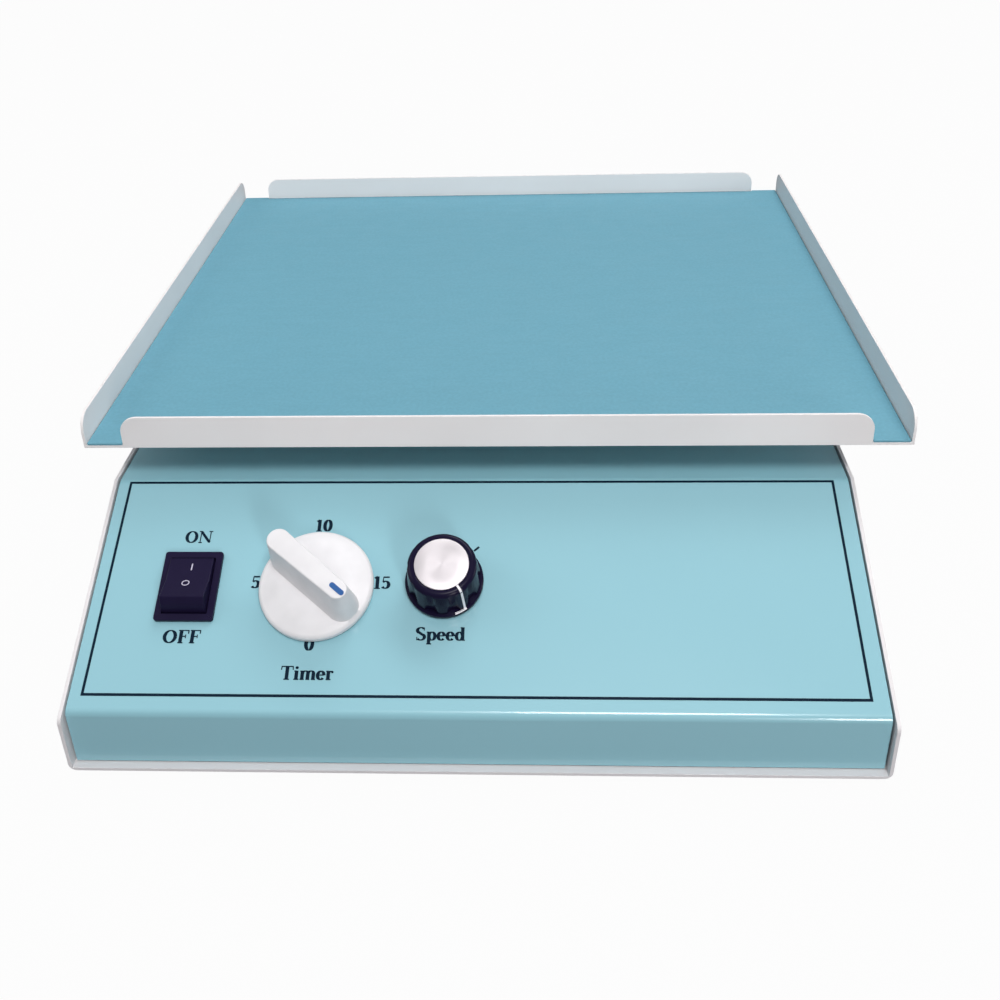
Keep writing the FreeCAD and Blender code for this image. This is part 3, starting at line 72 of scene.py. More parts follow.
import bmesh
import bpy
from bpy.props import FloatProperty, FloatVectorProperty, PointerProperty
from mathutils import Matrix, Vector
from mathutils.bvhtree import BVHTree

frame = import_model()

MM = 0.001
NODES = frame["nodes"]
SLOTS = {entry["node"]: entry["material_slot"] for entry in frame["record"]["subparts"]}
JOINTS = {joint["name"]: joint for joint in frame["joints"]}

# The sloping panel: its slope comes from the knobs' axes, its place from the cover's box.
COVER_LOW, COVER_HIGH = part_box("top_cover")
PANEL_NORMAL = Vector(JOINTS["timer_turn"]["axis"]).normalized()
PANEL_SLOPE = math.atan2(-PANEL_NORMAL.y, PANEL_NORMAL.z)
PANEL_LENGTH = 106.6 * MM
BASE_X = (COVER_LOW[0] + COVER_HIGH[0]) / 2
LIP_Y = COVER_LOW[1]
BEND_Z = COVER_HIGH[2] - PANEL_LENGTH * math.sin(PANEL_SLOPE)
PANEL_MATRIX = Matrix.Translation((BASE_X, LIP_Y, BEND_Z)) @ Matrix.Rotation(PANEL_SLOPE, 4, "X")


def on_axis(joint):
    """The matrix of a knob, from where its axis meets the panel: Z goes out and Y up the slope."""
    spot = PANEL_MATRIX.inverted() @ Vector(JOINTS[joint]["pos_m"])
    return PANEL_MATRIX @ Matrix.Translation((spot.x, spot.y, 0))


TIMER_MATRIX = on_axis("timer_turn")
SPEED_MATRIX = on_axis("speed_turn")


# Colour and shader helpers


def linear(hex_colour):
    """An sRGB hex value as linear red, green, blue and full alpha."""
    parts = [int(hex_colour[place:place + 2], 16) / 255 for place in (1, 3, 5)]
    curve = [part / 12.92 if part <= 0.04045 else ((part + 0.055) / 1.055) ** 2.4 for part in parts]
    return (*curve, 1.0)


def shade(colour, factor):
    """A colour made lighter or darker by a factor."""
    return (*(min(1.0, part * factor) for part in tuple(colour)[:3]), 1.0)


def node(tree, kind, links=(), **settings):
    """Add a node to a tree. Settings name its properties, or its inputs after in_, and links name
    where inputs come from."""
    made = tree.nodes.new(kind)
    for key, setting in settings.items():
        if key.startswith("in_"):
            socket = key[3:].replace("_", " ")
            made.inputs[int(socket) if socket.isdigit() else socket].default_value = setting
        else:
            setattr(made, key, setting)
    for source, target in links:
        tree.links.new(source, made.inputs[target])
    return made


def new_material(name, **settings):
    """A material with its shader set, its tree and the place on the object that patterns read."""
    material = bpy.data.materials.new(name)
    material.use_nodes = True
    tree = material.node_tree
    shader = tree.nodes["Principled BSDF"]
    for key, setting in settings.items():
        shader.inputs[key.replace("_", " ")].default_value = setting
    where = node(tree, "ShaderNodeTexCoord").outputs["Object"]
    return material, tree, shader, where


def noise(tree, where, size, detail=3.0, stretch=(1.0, 1.0, 1.0)):
    """A noise whose blotches are about as wide as a size in metres. A stretch below one along an axis
    makes them longer there, and one above one makes them shorter."""
    place = node(tree, "ShaderNodeMapping", [(where, "Vector")], in_Scale=stretch)
    made = node(tree, "ShaderNodeTexNoise", [(place.outputs["Vector"], "Vector")],
                in_Scale=1.0 / size, in_Detail=detail)
    return made.outputs["Fac"]


def blend(tree, value, low, high, start=0.35, end=0.65):
    """Blend two colours by a value."""
    made = node(tree, "ShaderNodeValToRGB", [(value, "Fac")])
    made.color_ramp.elements[0].position = start
    made.color_ramp.elements[0].color = low
    made.color_ramp.elements[1].position = end
    made.color_ramp.elements[1].color = high
    return made.outputs["Color"]


def spread(tree, value, low, high):
    """Spread a value from about 0.2 to 0.8 over a range, with soft ends."""
    made = node(tree, "ShaderNodeMapRange", [(value, "Value")], interpolation_type="SMOOTHSTEP",
                in_From_Min=0.2, in_From_Max=0.8, in_To_Min=low, in_To_Max=high)
    return made.outputs["Result"]


def finish_surface(tree, shader, colour, rough, grain, depth, strength):
    """Join a colour, a roughness and a grain to the shader, the grain as bump of a depth in metres."""
    tree.links.new(colour, shader.inputs["Base Color"])
    tree.links.new(rough, shader.inputs["Roughness"])
    relief = node(tree, "ShaderNodeBump", [(grain, "Height")], in_Strength=strength, in_Distance=depth)
    tree.links.new(relief.outputs["Normal"], shader.inputs["Normal"])


def baked_enamel(name, colour):
    """Gloss stove enamel, sprayed on bent sheet steel: an even colour under a wet clear gloss, with a
    faint orange peel of 2.2 mm, drawn a little coarser than the real one so that it shows."""
    material, tree, shader, where = new_material(name, IOR=1.5, Coat_Weight=0.5, Coat_Roughness=0.06)
    patches = noise(tree, where, 90 * MM, 2.0)
    sheen = noise(tree, where, 50 * MM, 1.0)
    orange_peel = noise(tree, where, 2.2 * MM, 1.0)
    finish_surface(tree, shader,
                   blend(tree, patches, shade(colour, 0.975), shade(colour, 1.02), 0.1, 0.9),
                   spread(tree, sheen, 0.22, 0.26), orange_peel, 0.04 * MM, 0.1)
    return material


def powder_coat(name, colour):
    """Polyester powder coat on sheet steel: off-white and satin, with a fine pebble of 0.7 mm."""
    material, tree, shader, where = new_material(name, IOR=1.5)
    patches = noise(tree, where, 70 * MM)
    sheen = noise(tree, where, 20 * MM)
    pebble = noise(tree, where, 0.7 * MM, 2.0)
    finish_surface(tree, shader,
                   blend(tree, patches, shade(colour, 0.975), shade(colour, 1.015)),
                   spread(tree, sheen, 0.4, 0.48), pebble, 0.04 * MM, 0.25)
    return material


def sheet_rubber(name, colour, grain=1.2 * MM):
    """Calendered rubber: matt and even, with a grain of about a millimetre under a fine dust. Rolling
    lines 4 mm apart and 20 mm long run across it, fainter than the dust."""
    material, tree, shader, where = new_material(name, IOR=1.52, Specular_IOR_Level=0.35)
    dust = noise(tree, where, 1.6 * MM, 4.0)
    lines = noise(tree, where, 4 * MM, 2.0, (0.2, 1.0, 1.0))
    faint = node(tree, "ShaderNodeMath", [(lines, 0)], operation="MULTIPLY", in_1=0.25)
    mixed = node(tree, "ShaderNodeMath", [(dust, 0), (faint.outputs[0], 2)],
                 operation="MULTIPLY_ADD", in_1=0.75)
    sheen = noise(tree, where, 12 * MM)
    finish_surface(tree, shader,
                   blend(tree, mixed.outputs[0], shade(colour, 0.95), shade(colour, 1.04)),
                   spread(tree, sheen, 0.6, 0.72), noise(tree, where, grain), 0.12 * MM, 0.5)
    return material


def moulded(name, colour, rough=(0.28, 0.36), specular=0.5):
    """Moulded plastic, or ink: even colour, a soft sheen, and a faint mould texture of 1.2 mm."""
    material, tree, shader, where = new_material(name, IOR=1.5, Specular_IOR_Level=specular)
    patches = noise(tree, where, 12 * MM, 2.0)
    sheen = noise(tree, where, 4 * MM)
    texture = noise(tree, where, 1.2 * MM, 2.0)
    finish_surface(tree, shader,
                   blend(tree, patches, shade(colour, 0.96), shade(colour, 1.03)),
                   spread(tree, sheen, *rough), texture, 0.02 * MM, 0.3)
    return material


def bare_metal(name, low, high, rough, stretch=(1.0, 1.0, 1.0)):
    """Bare or plated metal: a clean reflection, broken by tool marks of 0.8 mm. Stretched, they read
    as the lines of a lathe or of stacked sheets."""
    material, tree, shader, where = new_material(name, Metallic=1.0)
    marks = noise(tree, where, 0.8 * MM, 4.0, stretch)
    finish_surface(tree, shader, blend(tree, marks, linear(low), linear(high)),
                   spread(tree, marks, *rough), marks, 0.02 * MM, 0.2)
    return material


def spun_face(name, colour, middle):
    """Spun aluminium disc: its rings draw the light out into two opposite bright fans with two duller
    ones between them, and the colour repeats them as painted sheen, lighter at two opposite sides and
    darker between, fixed on the cap. The rings are 0.25 mm apart, coarser than the real ones, so that
    they show."""
    material, tree, shader, where = new_material(name, Metallic=0.6, Anisotropic=0.5)
    turned = middle.inverted()
    flat = node(tree, "ShaderNodeMapping", [(where, "Vector")], vector_type="POINT",
                in_Location=turned.to_translation(), in_Rotation=turned.to_euler())
    parts = node(tree, "ShaderNodeSeparateXYZ", [(flat.outputs["Vector"], "Vector")]).outputs
    # Painted sheen: two opposite lighter fans and two darker ones, turned to a fixed angle and blended
    # into the colour
    angle = node(tree, "ShaderNodeMath", [(parts["Y"], 0), (parts["X"], 1)], operation="ARCTAN2")
    twice = node(tree, "ShaderNodeMath", [(angle.outputs[0], 0)], operation="MULTIPLY_ADD",
                 in_1=2.0, in_2=math.radians(110.0))
    fans = node(tree, "ShaderNodeMath", [(twice.outputs[0], 0)], operation="COSINE")
    faces = node(tree, "ShaderNodeMapRange", [(fans.outputs[0], "Value")],
                 in_From_Min=-1.0, in_From_Max=1.0, interpolation_type="SMOOTHSTEP")
    level = node(tree, "ShaderNodeCombineXYZ", [(parts["X"], "X"), (parts["Y"], "Y")])
    reach = node(tree, "ShaderNodeVectorMath", [(level.outputs[0], 0)], operation="LENGTH")
    rings = node(tree, "ShaderNodeTexNoise", [(reach.outputs["Value"], "W")], noise_dimensions="1D",
                 in_Scale=1.0 / (0.25 * MM), in_Detail=2.0).outputs["Fac"]
    grooves = node(tree, "ShaderNodeTangent", direction_type="UV_MAP", uv_map="Lathe")
    tree.links.new(grooves.outputs[0], shader.inputs["Tangent"])
    finish_surface(tree, shader,
                   blend(tree, faces.outputs[0], shade(colour, 0.86), colour, 0.0, 1.0),
                   spread(tree, rings, 0.46, 0.52), rings, 0.01 * MM, 0.2)
    return material


MATERIALS = {}


def make_materials(looks):
    """Every finish of the part, by the slot that the record names for it."""
    MATERIALS.update(
        # Off-white powder coat of the pan: satin, with soft broad highlights
        case_paint=powder_coat("powder_coat_case", looks.case_colour),
        # Turquoise stove enamel: the one wet gloss of the machine, which mirrors knobs and tray
        cover_paint=baked_enamel("stove_enamel_turquoise", looks.cover_colour),
        # Whiter powder coat of the tray, so that its flanges stand out from the mat
        tray_paint=powder_coat("powder_coat_tray", looks.tray_colour),
        # Turquoise sheet rubber: matt, without any reflection of the room
        mat_rubber=sheet_rubber("rubber_sheet_turquoise", looks.mat_colour),
        # Moulded feet: charcoal, matt and a little finer in grain
        black_rubber=sheet_rubber("moulded_rubber_black", linear("#1E1E20"), 0.9 * MM),
        # Bright zinc plate on screws and clips: pale grey with blurred reflections
        zinc_steel=bare_metal("zinc_plated_steel", "#A9A9AC", "#C4C4C6", (0.3, 0.42)),
        # Ground steel of shafts and bearings: brighter and sharper than the plate
        bearing_steel=bare_metal("ground_steel", "#B5B6B8", "#CFD0D2", (0.15, 0.25), (1, 1, 12)),
        # Turned aluminium of the housings: the palest metal, with the lines of the lathe
        cast_aluminium=bare_metal("turned_aluminium", "#BFC1C4", "#D3D4D6", (0.3, 0.45), (1, 1, 10)),
        # Spun aluminium of the speed knob's cap: near white, with its rings, and fans of light partly
        # painted sheen
        spun_aluminium=spun_face("spun_aluminium", linear("#E2DCDF"), SPEED_MATRIX),
        # Black nylon of the switch: violet black with a dull sheen
        switch_plastic=moulded("nylon_black", linear("#1C1633"), (0.32, 0.42), specular=0.1),
        # White thermoset of the timer knob: satin, so that its grip is drawn by shade alone
        knob_white=moulded("moulded_white", looks.timer_colour, (0.42, 0.5)),
        # Blue inlay of the pointer: a flat strong colour
        pointer_blue=moulded("inlay_blue", linear("#2A5C9B"), (0.4, 0.5), specular=0.3),
        # Black phenolic of the speed knob: navy black, smoother than the switch
        knob_black=moulded("phenolic_black", linear("#140F2A"), (0.2, 0.26), specular=0.12),
        # Black enamel of the motor: the cover's gloss in charcoal
        motor_black=baked_enamel("black_enamel", linear("#1F1F22")),
        # Belt of ground rubber: matt, with the finest grain of the rubbers
        belt_rubber=sheet_rubber("belt_rubber", linear("#212121"), 0.8 * MM),
        # Tinned brass of pins and tabs: pale yellow metal, fairly sharp
        tinned_brass=bare_metal("tinned_brass", "#C9C3A5", "#D8D4BF", (0.2, 0.26)),
        # Cream moulding of the timer's case: warm and dull
        movement_plastic=moulded("moulded_cream", linear("#D3CFC4"), (0.4, 0.5)),
        # Varnished epoxy laminate of the board: deep green with a soft gloss
        circuit_board=moulded("epoxy_laminate_green", linear("#20603E")),
        # Varnished stack of the transformer: dark grey, lined by the edges of its sheets
        transformer_iron=bare_metal("varnished_laminations", "#4A4A4C", "#5A5A5C", (0.4, 0.5),
                                    (1, 1, 20)),
        # Shrink sleeve of the capacitor: navy with a soft gloss
        capacitor_sleeve=moulded("shrink_sleeve_navy", linear("#1F2746")),
        # Anodised heat sink: near black, still with a metal's sheen
        black_aluminium=bare_metal("anodised_aluminium_black", "#1B1B1C", "#262627", (0.35, 0.45)),
        # Navy screen ink of words, numbers and frame line: a flat dull film
        print_ink=moulded("screen_ink_navy", looks.ink_colour, (0.5, 0.6), specular=0.1),
        # Pad print of the paddle's marks: pale lilac grey and dull
        switch_ink=moulded("pad_print_pale", linear("#C9C4D8"), (0.45, 0.55)),
        # Paint filled into the speed knob's line: plain white and dull, also the painted highlight on
        # its skirt
        pointer_white=moulded("filled_line_white", linear("#F4F2F6"), (0.4, 0.5)),
    )


# Mesh helpers. Faces that meet at less than SMOOTH_BELOW are shaded as one curve

SMOOTH_BELOW = math.radians(34)
ROUND_ABOVE = math.radians(40)


def apply_modifiers(piece):
    """Turn a piece's modifiers into plain mesh."""
    bpy.context.view_layer.update()
    graph = bpy.context.evaluated_depsgraph_get()
    mesh = bpy.data.meshes.new_from_object(piece.evaluated_get(graph), preserve_all_data_layers=True,
                                           depsgraph=graph)
    piece.modifiers.clear()
    piece.data = mesh


def new_piece(name, bm, finish, body, smooth=None):
    """Turn a bmesh in the frame's coordinates into a piece that rides on a body. Faces that meet at
    less than a given angle are shaded smooth."""
    mesh = bpy.data.meshes.new(name)
    bm.to_mesh(mesh)
    bm.free()
    piece = bpy.data.objects.new(name, mesh)
    bpy.context.scene.collection.objects.link(piece)
    mesh.materials.append(MATERIALS[finish])
    if smooth is not None:
        mesh.shade_smooth()
        mesh.set_sharp_from_angle(angle=smooth)
    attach(piece, body)
    return piece


def merged(name):
    """A copy of a solid's mesh with its loose triangles joined and flat faces made whole."""
    bm = bmesh.new()
    bm.from_mesh(NODES[name].data)
    bmesh.ops.remove_doubles(bm, verts=bm.verts, dist=0.002 * MM)
    bmesh.ops.dissolve_limit(bm, angle_limit=math.radians(0.5), verts=bm.verts, edges=bm.edges)
    return bm


def dress(name, edge=0.0):
    """Stand a smooth copy of a solid in for it, with its sharp edges rounded to a radius."""
    slot = SLOTS[name]
    piece = new_piece(name + "_dressed", merged(name), slot, NODES[name]["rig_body"], SMOOTH_BELOW)
    if edge:
        rounding = piece.modifiers.new("edges", "BEVEL")
        rounding.width = edge
        rounding.segments = 3
        rounding.limit_method = "ANGLE"
        rounding.angle_limit = ROUND_ABOVE
        even = piece.modifiers.new("even", "WEIGHTED_NORMAL")
        even.keep_sharp = True
        piece.data.set_sharp_from_angle(angle=math.radians(60))
        apply_modifiers(piece)
    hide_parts(name)


def surface_of(name):
    """A solid's surface, for laying print on it."""
    bm = bmesh.new()
    bm.from_mesh(NODES[name].data)
    surface = BVHTree.FromBMesh(bm)
    bm.free()
    return surface


# How far off a ray starts, how deep ink is, and how far apart strokes that cross lie
RAY_START = 40 * MM
INK_DEPTH = 0.08 * MM
STROKE_STEP = 0.002 * MM


def strike(surface, start, heading):
    """Where a ray meets a surface, and the way the surface faces there."""
    hit, normal = surface.ray_cast(start, heading, 2 * RAY_START)[:2]
    if hit is None:
        raise RuntimeError("a print or an inlay lies outside the surface that carries it")
    return hit, normal


def lay_point(surface, matrix, across, up, lift):
    """The point of a surface under a spot of a flat drawing, lifted a little off the surface."""
    out = matrix.to_3x3() @ Vector((0, 0, 1))
    return strike(surface, matrix @ Vector((across, up, RAY_START)), -out)[0] + out * lift


# Lettering, drawn with a broad nib: upright strokes are thick and level ones thin


def stroke(*points, weight=None):
    """A stroke along points, with an even half width where a weight is given."""
    return (points, weight)


def bow(x, y, wide, high, start, end, weight=None):
    """Part of an ellipse, from one angle to another in degrees."""
    steps = max(6, int(abs(end - start) / 15))
    points = []
    for step in range(steps + 1):
        angle = math.radians(start + (end - start) * step / steps)
        points.append((x + wide * math.cos(angle), y + high * math.sin(angle)))
    return (points, weight)


# Half widths of the nib, and the letters: the advance and the strokes of each, in cap heights
NIB_THICK = 0.115
NIB_THIN = 0.042

GLYPHS = {
    "O": (0.96, [bow(0.47, 0.5, 0.34, 0.46, 0, 360)]),
    "N": (0.98, [stroke((0.15, 0.03), (0.15, 0.97), weight=0.035),
                 stroke((0.82, 0.02), (0.82, 0.97), weight=0.035),
                 stroke((0.17, 0.93), (0.81, 0.06)), stroke((0.0, 0.97), (0.24, 0.97)),
                 stroke((0.03, 0.03), (0.28, 0.03)), stroke((0.69, 0.97), (0.96, 0.97))]),
    "F": (0.74, [stroke((0.2, 0.0), (0.2, 1.0)), stroke((0.03, 0.97), (0.68, 0.97)),
                 stroke((0.66, 0.98), (0.66, 0.72), weight=0.035), stroke((0.2, 0.52), (0.5, 0.52)),
                 stroke((0.5, 0.66), (0.5, 0.38), weight=0.03), stroke((0.04, 0.03), (0.38, 0.03))]),
    "T": (0.84, [stroke((0.42, 0.0), (0.42, 1.0)), stroke((0.03, 0.97), (0.81, 0.97)),
                 stroke((0.06, 0.98), (0.04, 0.72), weight=0.035),
                 stroke((0.78, 0.98), (0.8, 0.72), weight=0.035), stroke((0.24, 0.03), (0.6, 0.03))]),
    "i": (0.4, [stroke((0.2, 0.0), (0.2, 0.66)), stroke((0.05, 0.63), (0.2, 0.63)),
                stroke((0.04, 0.03), (0.37, 0.03)), bow(0.2, 0.88, 0.05, 0.05, 0, 360, 0.055)]),
    "m": (1.08, [stroke((0.18, 0.0), (0.18, 0.66)), stroke((0.54, 0.0), (0.54, 0.48)),
                 stroke((0.9, 0.0), (0.9, 0.48)),
                 bow(0.37, 0.47, 0.17, 0.17, 170, 0), bow(0.73, 0.47, 0.17, 0.17, 170, 0),
                 stroke((0.03, 0.63), (0.18, 0.63)), stroke((0.04, 0.03), (0.32, 0.03)),
                 stroke((0.42, 0.03), (0.67, 0.03)), stroke((0.77, 0.03), (1.04, 0.03))]),
    "e": (0.6, [bow(0.3, 0.33, 0.2, 0.3, 0, 320), stroke((0.1, 0.35), (0.5, 0.35))]),
    "r": (0.52, [stroke((0.18, 0.0), (0.18, 0.66)), stroke((0.03, 0.63), (0.18, 0.63)),
                 stroke((0.04, 0.03), (0.36, 0.03)), bow(0.36, 0.44, 0.18, 0.18, 165, 60),
                 bow(0.43, 0.57, 0.03, 0.03, 0, 360, 0.05)]),
    "S": (0.72, [bow(0.36, 0.75, 0.23, 0.22, 35, 235), bow(0.36, 0.26, 0.25, 0.23, 55, -145),
                 stroke((0.2, 0.64), (0.54, 0.38), weight=0.09),
                 stroke((0.58, 0.98), (0.57, 0.74), weight=0.03),
                 stroke((0.11, 0.26), (0.1, 0.01), weight=0.03)]),
    "p": (0.7, [stroke((0.18, -0.28), (0.18, 0.66)), bow(0.38, 0.33, 0.2, 0.3, -160, 160),
                stroke((0.03, 0.63), (0.18, 0.63)), stroke((0.03, -0.26), (0.36, -0.26))]),
    "d": (0.72, [stroke((0.52, 0.0), (0.52, 1.0)), bow(0.31, 0.33, 0.2, 0.3, 20, 340),
                 stroke((0.37, 0.97), (0.52, 0.97)), stroke((0.52, 0.03), (0.68, 0.03))]),
    "0": (0.66, [bow(0.33, 0.5, 0.2, 0.46, 0, 360)]),
    "1": (0.5, [stroke((0.27, 0.0), (0.27, 0.99)), stroke((0.09, 0.84), (0.27, 0.97)),
                stroke((0.08, 0.03), (0.46, 0.03))]),
    "5": (0.64, [stroke((0.15, 0.93), (0.54, 0.93), weight=0.06),
                 stroke((0.16, 0.95), (0.13, 0.56), weight=0.035),
                 bow(0.29, 0.32, 0.22, 0.28, 135, -145)]),
}


def stitch(bm, rows):
    """Join rows of two corners each into a strip of faces."""
    for (left, right), (next_left, next_right) in zip(rows, rows[1:]):
        bm.faces.new((left, right, next_right, next_left))


def ribbon(bm, points, widths, place):
    """Add a flat ribbon along points of a drawing to a bmesh, through a function that places each."""
    count = len(points)
    rows = []
    for index, (x, y) in enumerate(points):
        before = points[max(0, index - 1)]
        after = points[min(count - 1, index + 1)]
        if points[0] == points[-1] and index in (0, count - 1):
            before, after = points[-2], points[1]
        along = Vector((after[0] - before[0], after[1] - before[1])).normalized()
        half = widths(along)
        left = bm.verts.new(place(x - along.y * half, y + along.x * half))
        right = bm.verts.new(place(x + along.y * half, y - along.x * half))
        rows.append((left, right))
    stitch(bm, rows)


def nib(weight):
    """The half width of a stroke by its direction, or an even one."""
    if weight is not None:
        return lambda along: weight
    return lambda along: NIB_THIN + (NIB_THICK - NIB_THIN) * abs(along.y) ** 1.5


def write(bm, text, middle, height, width, lay):
    """Add a word to a bmesh, centred on a spot, with a cap height and a width in metres. Each stroke
    lies a hair above the one before, so that none fight where they cross."""
    total = sum(GLYPHS[letter][0] for letter in text)
    stretch = width / (total * height)
    pen = -total / 2
    level = 0
    for letter in text:
        advance, strokes = GLYPHS[letter]
        for points, weight in strokes:
            level += 1

            def place(x, y, level=level, pen=pen):
                across = middle[0] + (pen + x) * height * stretch
                up = middle[1] + (y - 0.5) * height
                return lay(across, up, level * STROKE_STEP)

            ribbon(bm, points, nib(weight), place)
        pen += advance


def thicken(piece, depth):
    """Give a flat print its thickness, down into the surface that carries it."""
    wall = piece.modifiers.new("film", "SOLIDIFY")
    wall.thickness = depth
    wall.offset = -1.0
    apply_modifiers(piece)


# The user's sizes and colours


class RotatorLooks(bpy.types.PropertyGroup):
    cover_colour: FloatVectorProperty(
        name="Cover", description="Enamel of the sloping cover", subtype="COLOR", size=3,
        min=0.0, max=1.0, default=linear("#92C4D0")[:3])
    mat_colour: FloatVectorProperty(
        name="Mat", description="Rubber sheet on the tray", subtype="COLOR", size=3,
        min=0.0, max=1.0, default=linear("#6CA5B8")[:3])
    tray_colour: FloatVectorProperty(
        name="Tray", description="Powder coat of the tray and its flanges", subtype="COLOR", size=3,
        min=0.0, max=1.0, default=linear("#F7F2F1")[:3])
    case_colour: FloatVectorProperty(
        name="Case", description="Powder coat of the pan and its side plates", subtype="COLOR", size=3,
        min=0.0, max=1.0, default=linear("#E6E2E3")[:3])
    timer_colour: FloatVectorProperty(
        name="Timer knob", description="White plastic of the timer knob", subtype="COLOR", size=3,
        min=0.0, max=1.0, default=linear("#E8E6E8")[:3])
    ink_colour: FloatVectorProperty(
        name="Ink", description="Screen ink of the frame line, words and numbers", subtype="COLOR",
        size=3, min=0.0, max=1.0, default=linear("#031C2E")[:3])
    letter_height: FloatProperty(
        name="Letter height", description="Height of a capital on the panel", unit="LENGTH",
        min=0.002, max=0.012, default=5.7 * MM)
    line_width: FloatProperty(
        name="Line width", description="Width of the printed frame line", unit="LENGTH",
        min=0.0003, max=0.003, default=1.15 * MM)
    edge_round: FloatProperty(
        name="Sheet edge", description="Radius of the deburred edges of the sheet metal",
        unit="LENGTH", min=0.0, max=0.001, default=0.3 * MM)
    lamp_power: FloatProperty(
        name="Lamp power", description="Power that the softboxes take their shares of", unit="POWER",
        min=0.0, max=200.0, default=19.0)


# Operators: one for each piece or group of like pieces, and one for the stage


class ROTATOR_OT_finishes(bpy.types.Operator):
    """Give every solid the finish that its material slot names"""
    bl_idname = "rotator.finishes"
    bl_label = "Finishes"

    def execute(self, context):
        make_materials(context.scene.rotator_looks)
        for name, slot in SLOTS.items():
            mesh = NODES[name].data
            mesh.materials.clear()
            mesh.materials.append(MATERIALS[slot])
        return {"FINISHED"}


class ROTATOR_OT_sheet_metal(bpy.types.Operator):
    """Dress the bent sheet of the cover, the pan and the tray, with deburred edges"""
    bl_idname = "rotator.sheet_metal"
    bl_label = "Sheet metal"

    def execute(self, context):
        edge = context.scene.rotator_looks.edge_round
        for name in ("top_cover", "chassis_pan", "tray"):
            dress(name, edge)
        return {"FINISHED"}


class ROTATOR_OT_rubber(bpy.types.Operator):
    """Dress the rubber mat and the feet with soft edges"""
    bl_idname = "rotator.rubber"
    bl_label = "Mat and feet"

    def execute(self, context):
        dress("tray_mat", 0.5 * MM)
        dress("rubber_feet", 0.3 * MM)
        return {"FINISHED"}


class ROTATOR_OT_timer_knob(bpy.types.Operator):
    """Dress the white timer knob and its pointer"""
    bl_idname = "rotator.timer_knob"
    bl_label = "Timer knob"

    def execute(self, context):
        dress("timer_knob")
        self.fill_pointer()
        return {"FINISHED"}

    def fill_pointer(self):
        """The blue mark on the crest of the grip, round at both ends, out to the grip's end."""
        crown = surface_of("timer_knob")
        low, high = (Vector(corner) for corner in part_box("timer_pointer"))
        spot = TIMER_MATRIX.inverted() @ ((low + high) / 2)
        turn = TIMER_MATRIX @ Matrix.Rotation(math.atan2(spot.y, spot.x), 4, "Z")
        start, end, half, lift, depth = (size * MM for size in (12.9, 20.4, 1.1, 0.3, 0.4))
        outline = []
        for middle, first in ((end - half, -90), (start + half, 90)):
            for angle in range(first, first + 181, 15):
                lean = math.radians(angle)
                outline.append((middle + half * math.cos(lean), half * math.sin(lean)))
        bm = bmesh.new()
        bm.faces.new([bm.verts.new(lay_point(crown, turn, x, y, lift)) for x, y in outline])
        mark = new_piece("timer_pointer_filled", bm, "pointer_blue", NODES["timer_pointer"]["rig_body"])
        thicken(mark, depth)
        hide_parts("timer_pointer")


